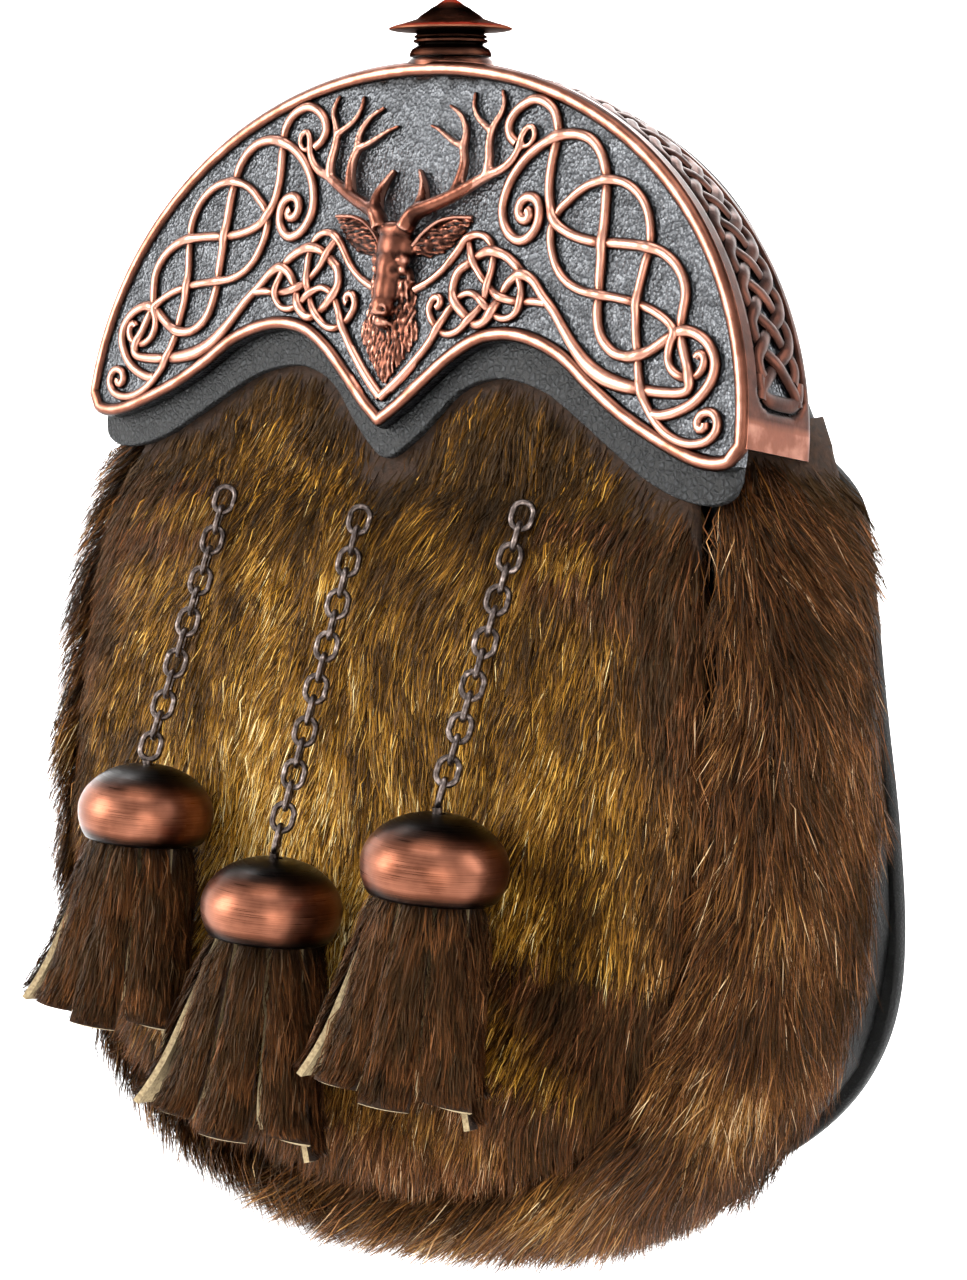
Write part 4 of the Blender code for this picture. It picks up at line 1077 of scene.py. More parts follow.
def bulge_of(mesh, points):
    """How far each vertex stands out from its neighbours, as a share of the distance to them."""
    ends = np.empty(len(mesh.edges) * 2, np.int32)
    mesh.edges.foreach_get("vertices", ends)
    ends = ends.reshape(-1, 2)
    ends = np.concatenate([ends, ends[:, ::-1]])
    normals = np.empty(len(mesh.vertices) * 3, np.float32)
    mesh.vertices.foreach_get("normal", normals)
    normals = normals.reshape(-1, 3)
    count = np.maximum(np.bincount(ends[:, 0], minlength=len(points)), 1)
    reach = np.linalg.norm(points[ends[:, 1]] - points[ends[:, 0]], axis=1)
    rise = ((points[ends[:, 0]] - points[ends[:, 1]]) * normals[ends[:, 0]]).sum(1) / np.maximum(reach, 1e-9)
    bulge = np.bincount(ends[:, 0], rise, len(points)) / count
    for _ in range(2):
        bulge = (bulge + np.bincount(ends[:, 0], bulge[ends[:, 1]], len(points)) / count) / 2
    return bulge


def relief_of(mesh):
    """Share of wear and painted shade on the casting: 0 in the ground, 1 on the crests of the rim and the
    strands.
    """
    points = places_of(mesh)
    local = on_face(points)
    across, up = np.abs(local[:, 0]), local[:, 1]
    height = local[:, 2] + RIM_HEIGHT
    worn = np.clip(height / (RIM_HEIGHT * 1.2), 0, 1) ** 1.2
    stag = (across < STAG_HALF_WIDTH) & (up > STAG_FOOT) & (height > STAG_RISE)
    head = stag & ((height > HEAD_RISE) | (across < HEAD_HALF_WIDTH) & (up < HEAD_TOP))
    bulge = bulge_of(mesh, points)
    ear = stag & (across > EAR_FROM) & (up > EAR_FOOT) & (up < EAR_CROWN)
    worn = np.where(head, np.clip(0.52 + 2.6 * bulge, 0.15, 0.95), worn)
    worn = np.where(ear, np.clip(0.36 + 2.6 * bulge, 0.15, 0.90), worn)
    surface = band_surface()
    line = np.array([(p.x, p.y) for p in surface[0]])
    outs = np.array([(p.x, p.y) for p in surface[1]])
    behind = np.nonzero(local[:, 2] < -RIM_HEIGHT * 0.3)[0]
    for chunk in np.array_split(behind, 40):
        gaps = local[chunk, None, :2] - line[None]
        nearest = np.argmin((gaps**2).sum(-1), axis=1)
        rise = (gaps[np.arange(len(chunk)), nearest] * outs[nearest]).sum(-1)
        # Painted shade: the band faces away from the key light, so its wear is scaled down, less so at its
        # plain ends near the tips
        bright = 0.46 + 0.26 * np.clip((BAND_PLAIN_END - local[chunk, 1]) / 0.0012, 0, 1)
        banded = np.where(rise > -BAND_RECESS * 1.5, np.clip(1 + rise / BAND_RECESS, 0, 1) * bright, 0.22)
        on_side = (local[chunk, 2] < -RIM_HEIGHT * 1.3) | (np.abs(rise) < BAND_RECESS * 0.4)
        worn[chunk] = np.where(on_side, banded, worn[chunk])
    return worn


def make_knob(material):
    """The turned knob on its post, with wear taken from its profile's table."""
    rows = [(radius * MM, height * MM) for radius, height, _ in KNOB_ROWS]
    bm = spun(rows, KNOB_STEPS, KNOB_AXIS)
    mesh = mesh_of("turned_knob", bm, 32.0)
    knob = object_of("turned_knob", mesh, material)
    points = places_of(mesh)
    axis = KNOB_AXIS.translation
    height = (points[:, 2] - axis.z) / MM
    radius = np.hypot(points[:, 0] - axis.x, points[:, 1] - axis.y) / MM
    table = np.array(KNOB_ROWS)
    upward = height[:, None] - table[None, :, 1]
    outward_gap = radius[:, None] - table[None, :, 0]
    nearest = np.argmin(upward**2 + outward_gap**2, axis=1)
    set_value(mesh, "relief", table[nearest, 2])
    return knob


def make_flap(material):
    """Leather that shows below the cantle's lower edge, with rounded cut edges. Its upper part is hidden."""
    right = [(u * MM, v * MM) for u, v in FLAP_ROWS]
    low = smooth_line([(-u, v) for u, v in reversed(right)] + right[1:], 0.0012)
    edge = lower_edge(0.0012)
    columns = len(low) - 1
    bm = bmesh.new()
    bmesh.ops.create_grid(bm, x_segments=columns, y_segments=4, size=0.5)
    for vert in bm.verts:
        place = low[round((vert.co.x + 0.5) * columns)]
        top = np.interp(place.x, [p.x for p in edge], [p.y for p in edge]) + FLAP_TUCK
        vert.co = (place.x, place.y + (top - place.y) * (vert.co.y + 0.5), -FACE_PLATE - CLEAR)
    bmesh.ops.solidify(bm, geom=list(bm.faces), thickness=FLAP_THICKNESS)
    rims = [e for e in bm.edges if e.is_manifold and e.calc_face_angle() > 1.2]
    round_edges(bm, rims, EDGE_ROUND * 0.7)
    highest = max(vert.co.z for vert in bm.verts)
    bmesh.ops.translate(bm, verts=bm.verts, vec=(0, 0, -FACE_PLATE - CLEAR - highest))
    bmesh.ops.transform(bm, matrix=FACE, verts=bm.verts)
    return object_of("grained_flap", mesh_of("grained_flap", bm), material)


def outline_of(node, y):
    """The convex outline of a flat node at a given depth, as points in order round its middle."""
    found = {}
    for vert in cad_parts[node].data.vertices:
        if abs(vert.co.y - y) < 1e-5:
            found[(round(vert.co.x, 5), round(vert.co.z, 5))] = Vector((vert.co.x, vert.co.z))
    points = list(found.values())
    middle = sum(points, Vector((0, 0))) / len(points)
    return sorted(points, key=lambda p: math.atan2(p.y - middle.y, p.x - middle.x))


def back_outline(step):
    """The back panel's outline, drawn in a little behind the cantle's band."""
    outline = smooth_line(outline_of("back_panel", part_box("back_panel")[0].y), step, closed=True)
    for place in outline:
        place.x *= 1 - BACK_DRAWN_IN * min(1.0, max(0.0, (place.y - BORDER_TOP) / 0.020))
    return outline


def make_back_panel(material):
    """The back panel with a smooth outline and rounded, burnished edges."""
    low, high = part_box("back_panel")
    outline = back_outline(0.0022)
    bm = bmesh.new()
    face = bmesh.ops.contextual_create(bm, geom=[bm.verts.new((p.x, low.y, p.y)) for p in outline])["faces"]
    made = bmesh.ops.extrude_face_region(bm, geom=face)["geom"]
    moved = [v for v in made if isinstance(v, bmesh.types.BMVert)]
    bmesh.ops.translate(bm, verts=moved, vec=(0, high.y - low.y, 0))
    rims = [e for e in bm.edges if abs(e.verts[0].co.y - e.verts[1].co.y) < 1e-6]
    round_edges(bm, rims, EDGE_ROUND * 1.3)
    return object_of("smooth_back_panel", mesh_of("smooth_back_panel", bm), material)


def make_strap_loop(material):
    """The strap loop's solid with its cut edges rounded."""
    bm = merged_copy("strap_loop")
    bmesh.ops.dissolve_limit(
        bm, angle_limit=math.radians(1), verts=bm.verts, edges=bm.edges, use_dissolve_boundaries=False
    )
    round_edges(bm, list(bm.edges), EDGE_ROUND * 0.6)
    return object_of("sewn_strap_loop", mesh_of("sewn_strap_loop", bm), material)


def stitch(place, along):
    """One stitch of waxed thread on a face towards the back, with its ends sunk in the leather."""
    half = along.normalized() * STITCH_LENGTH / 2
    sunk = Vector((0, 0.0003, 0))
    frames = [
        section_frame(p, half, Vector((0, 1, 0)), 0.0003, 0.0003)
        for p in (place - half - sunk, place + sunk, place + half - sunk)
    ]
    return sweep(frames, 6)


def make_stitches(material):
    """Waxed thread through the two tabs of the strap loop, and round the edge of the back panel."""
    low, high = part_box("strap_loop")
    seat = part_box("back_panel")[1].y
    across = high.x - low.x - 2 * TAB_END_INSET
    parts = []
    for z in (low.z + TAB_SEAM_INSET, high.z - TAB_SEAM_INSET):
        for k in range(TAB_STITCHES):
            x = low.x + TAB_END_INSET + across * (k + 0.5) / TAB_STITCHES
            parts.append(stitch(Vector((x, seat + CLEAR + TAB_THICKNESS, z)), Vector((1, 0, 0))))
    seam = drawn_in(back_outline(STITCH_PITCH), SEAM_INSET)
    for here, after in zip(seam, seam[1:] + seam[:1]):
        step = after - here
        parts.append(stitch(Vector((here.x, seat, here.y)), Vector((step.x, 0, step.y))))
    return object_of("panel_stitches", mesh_of("panel_stitches", joined(parts)), material)


def soft_skin(name, node, cuts, rounds, material):
    """A frame node's solid as a smooth hide, which carries the fur."""
    bm = merged_copy(node)
    bmesh.ops.join_triangles(bm, faces=bm.faces, angle_face_threshold=0.7, angle_shape_threshold=0.9)
    bmesh.ops.subdivide_edges(bm, edges=bm.edges, cuts=cuts, use_grid_fill=True)
    smoothed(bm, rounds)
    bmesh.ops.triangulate(bm, faces=bm.faces)
    return object_of(name, mesh_of(name, bm, 80.0), material)


def fur_roots(mesh, count, rng, wanted):
    """Roots spread evenly over the wanted triangles of a mesh, with smooth normals."""
    mesh.calc_loop_triangles()
    corners = np.empty(len(mesh.loop_triangles) * 3, np.int32)
    mesh.loop_triangles.foreach_get("vertices", corners)
    corners = corners.reshape(-1, 3)
    points = places_of(mesh).astype(float)
    normals = np.empty(len(mesh.vertices) * 3, np.float32)
    mesh.vertices.foreach_get("normal", normals)
    normals = normals.reshape(-1, 3)
    a, b, c = (points[corners[:, k]] for k in range(3))
    cross = np.cross(b - a, c - a)
    area = np.linalg.norm(cross, axis=1)
    face_normal = cross / np.maximum(area, 1e-15)[:, None]

    # A triangle is drawn by its area, and a place in it by three weights that add up to one
    area = area * wanted((a + b + c) / 3, face_normal)
    pick = rng.choice(len(area), count, p=area / area.sum())
    r, t = np.sqrt(rng.random(count)), rng.random(count)
    weights = np.stack([1 - r, r * (1 - t), r * t], axis=1)
    roots = np.einsum("nk,nkd->nd", weights, points[corners[pick]])
    ups = np.einsum("nk,nkd->nd", weights, normals[corners[pick]])
    return roots, unit(ups)


def unit(vectors):
    return vectors / np.maximum(np.linalg.norm(vectors, axis=1), 1e-12)[:, None]


def waves_at(points, size, seed):
    """Smooth noise between -1 and 1 at each point, for waves and patches of a given size."""
    return np.array([noise.noise(Vector(p) / size + Vector((seed, 2 * seed, 3 * seed))) for p in points])


def lay_hairs(name, roots, ups, ways, lengths, lifts, widths, shades, gold, clump, rng, material):
    """A coat of flat tapered hairs that lean along their ways and gather in locks at their tips.

    Each hair is a slip of five points, a square and then a triangle. They are laid all at once, as
    there are tens of thousands.
    """
    count = len(roots)
    ways = unit(ways - ups * (ways * ups).sum(1)[:, None] * 0.85)
    side = unit(np.cross(ways, ups))
    roll = rng.normal(0, 0.5, count)[:, None]
    side = unit(side * np.cos(roll) + ups * np.sin(roll))
    sway = side * (rng.normal(0, 0.07, count) * lengths)[:, None]
    low = roots - ups * HAIR_SINK
    middle = roots + ways * (lengths * 0.48)[:, None] + ups * (lifts * 0.72)[:, None] + sway
    tip = roots + ways * lengths[:, None] + ups * lifts[:, None]

    # Every hair bends towards the nearest of a few guide hairs, which makes locks
    guides = rng.choice(count, max(1, count // LOCK_HAIRS), replace=False)
    tree = kdtree.KDTree(len(guides))
    for k, guide in enumerate(guides):
        tree.insert(roots[guide], k)
    tree.balance()
    nearest = guides[[tree.find(p)[1] for p in roots]]
    pull = (clump * rng.uniform(0.4, 1.0, count))[:, None]
    tip = tip + (tip[nearest] - tip) * pull
    middle = middle + (middle[nearest] - middle) * pull * 0.45

    half = side * (widths / 2)[:, None]
    points = np.stack([low - half * 0.8, low + half * 0.8, middle - half, middle + half, tip], axis=1)
    mesh = bpy.data.meshes.new(name)
    mesh.vertices.add(count * SLIP_POINTS)
    mesh.vertices.foreach_set("co", points.reshape(-1).astype(np.float32))
    pattern = np.array([0, 1, 3, 2, 2, 3, 4])
    loops = (np.arange(count)[:, None] * SLIP_POINTS + pattern[None]).reshape(-1)
    mesh.loops.add(len(loops))
    mesh.loops.foreach_set("vertex_index", loops.astype(np.int32))
    starts = (np.arange(count)[:, None] * 7 + np.array([0, 4])[None]).reshape(-1)
    mesh.polygons.add(count * 2)
    mesh.polygons.foreach_set("loop_start", starts.astype(np.int32))
    mesh.update(calc_edges=True)
    mesh.shade_smooth()

    # Each lock is a little lighter or darker as a whole
    locks = rng.normal(0, 1, count)[nearest]
    shades = shades + locks * 0.07
    set_value(mesh, "shade", np.repeat(shades, SLIP_POINTS))
    set_value(mesh, "gold", np.repeat(gold, SLIP_POINTS))
    set_value(mesh, "along", np.tile([0.0, 0.0, 0.5, 0.5, 1.0], count))
    return object_of(name, mesh, material)


def flap_gap(points):
    """How far points lie below the flap's lower edge, measured down the cantle's face."""
    local = on_face(points)
    table = np.array(FLAP_ROWS) * MM
    return np.interp(np.abs(local[:, 0]), table[:, 0], table[:, 1]) - local[:, 1]


def clear_of_cantle(points):
    """Whether points lie below the flap's edge, or else behind the flap and below the band's ends."""
    local = on_face(points)
    behind = (local[:, 2] < -FACE_PLATE - CLEAR - FLAP_THICKNESS) & (local[:, 1] < -BAND_GAP)
    return behind | (flap_gap(points) > FLAP_GAP)


def panel_margin(points):
    """Share of the front panel's half width between points and its side edge."""
    widest = {}
    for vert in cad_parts["front_panel"].data.vertices:
        level = round(vert.co.z, 4)
        widest[level] = max(widest.get(level, 0.0), abs(vert.co.x))
    levels = sorted(widest)
    return 1 - np.abs(points[:, 0]) / np.interp(points[:, 2], levels, [widest[level] for level in levels])


def make_front_fur(skin, name, count, seed, material):
    """Short guard hair on the front, combed down, mottled in brindle patches and thin along the chains."""
    rng = np.random.default_rng(seed)

    def wanted(middle, normal):
        return (normal[:, 1] < 0.15).astype(float) * (flap_gap(middle) > -0.008)

    roots, ups = fur_roots(skin.data, count, rng, wanted)
    kept = flap_gap(roots) > -0.0015
    roots, ups = roots[kept], ups[kept]
    count = len(roots)
    # Hair falls straight down, turned aside by broad swirls, by small ones and towards the side seams
    swirl = waves_at(roots, 0.030, 3.0)
    fine = waves_at(roots, 0.007, 5.0)
    spread = roots[:, 0] / PANEL_HALF_WIDTH
    aside = -0.20 + 0.25 * spread + 0.45 * swirl + 0.32 * fine
    ways = np.stack([aside, np.zeros(count), -np.ones(count)], axis=1)
    ways += rng.normal(0, 0.09, (count, 3))
    # It lies flat where it comes out from under the flap, and along each chain
    flat = np.clip(flap_gap(roots) / 0.010, 0.15, 1)
    parting = np.ones(count)
    for side, _ in TASSEL_ROWS:
        low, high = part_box("chain_" + side)
        gap = np.abs(roots[:, 0] - (low.x + high.x) / 2)
        below = roots[:, 2] < high.z - 0.004
        parting = np.where(below, np.minimum(parting, 0.35 + 0.65 * np.clip(gap / 0.006, 0, 1)), parting)
    lengths = FRONT_HAIR_LENGTH * rng.uniform(0.6, 1.15, count)
    lifts = FRONT_HAIR_LIFT * rng.uniform(0.5, 1.25, count) * flat * parting
    widths = FRONT_HAIR_WIDTH * rng.uniform(0.7, 1.4, count)
    # Brindle patches of about 9 mm, longer than they are wide, with a bright field low in the middle
    patches = waves_at(roots * np.array([1.0, 1.0, 0.55]), 0.009, 7.0)
    broad = waves_at(roots, 0.030, 11.0)
    bright = np.exp(-(((roots[:, 0] + 0.004) / 0.036) ** 2) - ((roots[:, 2] + 0.092) / 0.034) ** 2)
    shades = 0.35 + 0.24 * patches + 0.18 * broad + 0.32 * bright + rng.normal(0, 0.19, count)
    # Painted shade: hair within 30 mm below the flap's edge is darker, most at the edge, where the cantle
    # overhangs it
    shades -= 0.12 * (1 - np.clip(flap_gap(roots) / 0.030, 0, 1))
    # Golden in the middle, and brown like the border towards the side and bottom edges
    margin = panel_margin(roots)
    low_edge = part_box("front_panel")[0].z
    gold = np.clip(margin / 0.20 + 0.35 * patches, 0, 1)
    gold *= np.clip((roots[:, 2] - low_edge - 0.006) / 0.020, 0, 1)
    return lay_hairs(name, roots, ups, ways, lengths, lifts, widths, shades, gold, 0.42, rng, material)


def outward(points):
    """Directions away from the middle of the pouch, level with the back panel."""
    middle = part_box("front_panel")[0].z * 0.45
    return unit(np.stack([points[:, 0], np.zeros(len(points)), points[:, 2] - middle], axis=1))


def make_border_hide(material):
    """The hide under the border's fur: the gusset's outer face below the cantle, moved out by its backing."""
    bm = merged_copy("gusset")
    bm.normal_update()
    faces = list(bm.faces)
    out = outward(np.array([face.calc_center_median() for face in faces]))
    turned_in = [face for face, way in zip(faces, out) if face.normal.dot(Vector(way)) < 0.3]
    bmesh.ops.delete(bm, geom=turned_in, context="FACES")
    bmesh.ops.join_triangles(bm, faces=bm.faces, angle_face_threshold=0.7, angle_shape_threshold=0.9)
    bmesh.ops.subdivide_edges(bm, edges=bm.edges, cuts=3, use_grid_fill=True)
    smoothed(bm, 6)
    top = ((0, 0, BORDER_TOP), (0, 0, 1))
    rear = ((0, BORDER_REAR, BORDER_REAR_LEVEL), (0, 1, -BORDER_REAR_SLOPE))
    for place, way in (top, rear):
        geom = list(bm.verts) + list(bm.edges) + list(bm.faces)
        bmesh.ops.bisect_plane(bm, geom=geom, dist=1e-6, plane_co=place, plane_no=way, clear_outer=True)
    bm.normal_update()
    for vert in bm.verts:
        vert.co += vert.normal * (CLEAR + BORDER_BACKING)
    bmesh.ops.solidify(bm, geom=list(bm.faces), thickness=BORDER_BACKING)
    bmesh.ops.triangulate(bm, faces=bm.faces)
    bmesh.ops.recalc_face_normals(bm, faces=bm.faces)
    return object_of("border_hide", mesh_of("border_hide", bm, 80.0), material)


def make_border_fur(skin, name, count, seed, material):
    """Long fur round the sides and bottom: it puffs over the panel's edge in front and lies flat behind."""
    rng = np.random.default_rng(seed)
    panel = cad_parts["front_panel"].data.vertices
    tree = kdtree.KDTree(len(panel))
    for k, vert in enumerate(panel):
        tree.insert((vert.co.x, 0, vert.co.z), k)
    tree.balance()

    def wanted(middle, normal):
        return ((normal * outward(middle)).sum(1) > 0.3).astype(float)

    roots, ups = fur_roots(skin.data, count, rng, wanted)
    # Share of the way from the panel's edge back to the border's rear
    edge = np.array([panel[tree.find((p[0], 0, p[2]))[1]].co.y for p in roots])
    share = np.clip((roots[:, 1] - edge) / (BORDER_REAR - edge), 0, 1)
    out = outward(roots)
    side = np.sign(roots[:, 0])
    down = np.stack([out[:, 2] * side, np.zeros(count), -out[:, 0] * side], axis=1)
    down = unit(down + np.array([0, 0, -0.25]))

    # Hair runs down and round the edge, forward in front, and out at the bottom
    forward = np.clip((share - 0.50) * 2.4, -1.10, 0.10)
    bottom = np.clip((-0.115 - roots[:, 2]) / 0.035, 0, 1)
    swirl = waves_at(roots, 0.014, 2.0)
    crown = share * np.clip((roots[:, 2] + 0.040) / 0.025, 0, 1)
    ways = down * 0.8 + np.array([0, 1, 0]) * (forward + 0.28 * swirl + 0.20 * crown)[:, None]
    ways += out * (0.22 + 0.5 * bottom - 0.18 * crown)[:, None]
    ways += rng.normal(0, 0.13, (count, 3))
    lengths = BORDER_HAIR_LENGTH * rng.uniform(0.55, 1.15, count) * (1 + 0.25 * bottom)
    puff = 0.30 + 0.70 * np.exp(-(((share - 0.18) / 0.40) ** 2)) + 0.6 * bottom * (1 - share)
    near = np.clip((BORDER_TOP - roots[:, 2]) / 0.012, 0.45, 1)
    lifts = BORDER_HAIR_LIFT * rng.uniform(0.35, 1.20, count) * puff * near
    # Hairs that would touch the cantle or its flap are left out
    tips = roots + unit(ways) * lengths[:, None] + ups * lifts[:, None]
    kept = clear_of_cantle(tips) & clear_of_cantle((roots + tips) / 2 + ups * (lifts * 0.3)[:, None])
    widths = BORDER_HAIR_WIDTH * rng.uniform(0.7, 1.4, count)
    patches = waves_at(roots, 0.013, 9.0)
    shades = 0.44 + 0.24 * patches + rng.normal(0, 0.21, count) - 0.12 * share
    gold = np.clip(0.22 - 0.5 * share + 0.3 * patches + rng.normal(0, 0.10, count), 0, 1)
    coat = (values[kept] for values in (roots, ups, ways, lengths, lifts, widths, shades, gold))
    return lay_hairs(name, *coat, 0.42, rng, material)


def axis_of(node, lean):
    """A frame on a leaning turned node: its origin in the middle of the mouth, its Z up along the axis."""
    turn = Matrix.Rotation(-lean, 4, "X")
    back = turn.inverted()
    points = [back @ vert.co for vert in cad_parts[node].data.vertices]
    low = min(p.z for p in points)
    x = (min(p.x for p in points) + max(p.x for p in points)) / 2
    y = (min(p.y for p in points) + max(p.y for p in points)) / 2
    return turn @ Matrix.Translation((x, y, low))


def make_bell(name, material):
    """A spun dome with a thin wall and a rolled lip."""
    axis = axis_of("bell_" + name, BELL_LEAN)
    outer = smooth_line([(r * BELL_RADIUS, z * BELL_HEIGHT, 0) for r, z in BELL_ROWS], 0.0006)
    outer = [(p.x, p.y) for p in outer]
    inner = [(max(0.0012, r - BELL_WALL), min(z, BELL_HEIGHT - BELL_WALL)) for r, z in outer]
    bm = spun(outer + inner[::-1], BELL_STEPS, Matrix())
    rings = bm.loops.layers.uv.new("rings")
    for face in bm.faces:
        angles = [math.atan2(loop.vert.co.y, -loop.vert.co.x) for loop in face.loops]
        for loop, angle in zip(face.loops, angles):
            if max(angles) - min(angles) > math.pi and angle < 0:
                angle += 2 * math.pi
            loop[rings].uv = (angle * BELL_RADIUS, loop.vert.co.z)
    mesh = mesh_of("spun_bell_" + name, bm, 60.0)
    height = places_of(mesh)[:, 2] / BELL_HEIGHT
    # Darker towards the top, and darker towards the mouth as painted shade
    wear_and_shade = 0.62 - 0.78 * np.clip((height - 0.66) / 0.3, 0, 1) - 0.60 * np.clip((0.17 - height) / 0.16, 0, 1)
    set_value(mesh, "relief", wear_and_shade)
    mesh.transform(axis)
    return object_of("spun_bell_" + name, mesh, material)


def link_frames(middle, turn, half_length):
    """Frames round one link, whose long axis is the turn's Z and which lies in its XZ plane."""
    bend = (LINK_WIDTH - LINK_WIRE) / 2
    straight = half_length - LINK_WIRE / 2 - bend
    points = []
    for k in range(LINK_STEPS):
        angle = 2 * math.pi * (k + 0.5) / LINK_STEPS
        z = bend * math.sin(angle) + math.copysign(max(0.0, straight), math.sin(angle))
        points.append(middle + turn @ Vector((bend * math.cos(angle), 0, z)))
    out = turn @ Vector((0, 1, 0))
    frames = []
    for k, here in enumerate(points):
        along = points[(k + 1) % LINK_STEPS] - points[k - 1]
        frames.append(section_frame(here, along, out, LINK_WIRE / 2, LINK_WIRE / 2))
    return frames


def make_chain(name, material):
    """Round wire links, each turned a quarter from the last, and a stem down into the bell."""
    points = [vert.co.copy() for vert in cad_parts["chain_" + name].data.vertices]
    top = max(p.z for p in points)
    crown = [p for p in points if p.z > top - 0.0006]
    bell = axis_of("bell_" + name, BELL_LEAN)
    finish = bell @ Vector((0, 0, BELL_HEIGHT + CLEAR + LINK_PITCH * 0.52 + LINK_WIRE))
    half = LINK_PITCH / 2 + LINK_WIRE
    start = Vector((finish.x, sum(p.y for p in crown) / len(crown), top - half))
    run = finish - start
    count = round(run.length / LINK_PITCH) + 1
    pitch = run.length / (count - 1)
    turn = run.to_track_quat("-Z", "Y").to_matrix()
    parts = []
    for k in range(count):
        held = turn @ Matrix.Rotation(LINK_TURN + math.pi / 2 * (k % 2), 3, "Z")
        middle = start + run * k / (count - 1)
        parts.append(sweep(link_frames(middle, held, pitch / 2 + LINK_WIRE * 0.92), 8, True))
    low = finish + run.normalized() * (pitch / 2 + LINK_WIRE * 0.5)
    under = bell @ Vector((0, 0, BELL_HEIGHT - BELL_WALL - 0.0015))
    stem = (low, low.lerp(under, 0.5), under)
    aside = Vector((0, 1, 0))
    parts.append(sweep([section_frame(p, under - low, aside, STEM_RADIUS, STEM_RADIUS) for p in stem], 12))
    return object_of("wire_chain_" + name, mesh_of("wire_chain_" + name, joined(parts), 70.0), material)


def strip_point(down, mouth, half_width, angle, across, along, rank):
    """A place on a tassel strip: across from -1 to 1, along from the bell at 0 to the square end at 1."""
    length_share, mouth_share, wide_share, deep_share = STRIP_RANKS[rank][2:]
    length = TASSEL_LENGTH * (0.98 + 0.05 * math.sin(5 * angle + rank)) * length_share
    inner = mouth * mouth_share
    wide = half_width * wide_share
    deep = TASSEL_HALF_DEPTH * deep_share
    curl = STRIP_CURL * max(0.0, along - 0.7) ** 2 / 0.09
    centre_x = (inner + (wide - inner) * along**0.9 + curl) * math.cos(angle)
    centre_y = (inner + (deep - inner) * along**0.9 + curl) * math.sin(angle)
    half = STRIP_HALF_TOP + (STRIP_HALF_END - STRIP_HALF_TOP) * along**0.8
    twist = STRIP_TWIST * math.sin(3 * angle + 1.3 * rank) * along
    side = Vector((-math.sin(angle + twist), math.cos(angle + twist), 0))
    out = Vector((math.cos(angle + twist), math.sin(angle + twist), 0))
    place = Vector((centre_x, centre_y, STRIP_TUCK - along * (length + STRIP_TUCK)))
    place += side * across * half - out * (across**2) * half * 0.30
    return down @ place


def make_tassel(name, half_width, hide, skin, hair):
    """Strips of hide cut square at the end, with fur on their outer faces."""
    rng = np.random.default_rng(41 + len(name))
    bell = axis_of("bell_" + name, BELL_LEAN)
    down = Matrix.Translation(bell.translation) @ Matrix.Rotation(-TASSEL_LEAN, 4, "X")
    mouth = BELL_ROWS[-1][0] * BELL_RADIUS - BELL_WALL - CLEAR
    centre = down @ Vector((0, 0, -TASSEL_LENGTH / 2))
    sheets = []
    roots, ups, ways, room = [], [], [], []
    for rank, (strips, hairs, *_) in enumerate(STRIP_RANKS):
        for k in range(strips):
            angle = 2 * math.pi * (k + 0.35 + 0.5 * rank) / strips
            bm = bmesh.new()
            bmesh.ops.create_grid(bm, x_segments=5, y_segments=14, size=1.0)
            for vert in bm.verts:
                vert.co = strip_point(down, mouth, half_width, angle, vert.co.x, (vert.co.y + 1) / 2, rank)
            bm.normal_update()
            face = bm.faces[:][0]
            if face.normal.dot(face.calc_center_median() - centre) < 0:
                bmesh.ops.reverse_faces(bm, faces=bm.faces)
            outer = set(bm.faces)
            bmesh.ops.solidify(bm, geom=list(bm.faces), thickness=STRIP_THICKNESS)
            for face in bm.faces:
                face.material_index = 1 if face in outer else 0
            sheets.append(bm)
            for _ in range(hairs):
                across = rng.uniform(-0.90, 0.90)
                along = rng.uniform(0.02, 0.97) ** 0.8
                here = strip_point(down, mouth, half_width, angle, across, along, rank)
                lower = strip_point(down, mouth, half_width, angle, across * 1.01, along + 0.05, rank)
                aside = strip_point(down, mouth, half_width, angle, across + 0.1, along, rank)
                way = (lower - here).normalized()
                up = (aside - here).cross(way).normalized()
                if up.dot(here - centre) < 0:
                    up = -up
                roots.append(here)
                ups.append(up)
                ways.append(way)
                room.append((1.01 - along) * TASSEL_LENGTH)
    label = "tassel_strips_" + name
    strips = object_of(label, mesh_of(label, joined(sheets), 30.0), hide, skin)
    roots, ups, ways, room = np.array(roots), np.array(ups), np.array(ways), np.array(room)
    count = len(roots)
    ways = ways + rng.normal(0, 0.05, (count, 3))
    lengths = np.minimum(TASSEL_HAIR_LENGTH * rng.uniform(0.6, 1.1, count), np.maximum(0.0012, room))
    lifts = TASSEL_HAIR_LIFT * rng.uniform(0.4, 1.2, count)
    widths = TASSEL_HAIR_WIDTH * rng.uniform(0.7, 1.4, count)
    shades = 0.33 + 0.12 * waves_at(roots, 0.006, 4.0) + rng.normal(0, 0.12, count)
    gold = np.full(count, 0.03)
    values = (roots, ups, ways, lengths, lifts, widths, shades, gold)
    return strips, lay_hairs("tassel_fur_" + name, *values, 0.45, rng, hair)


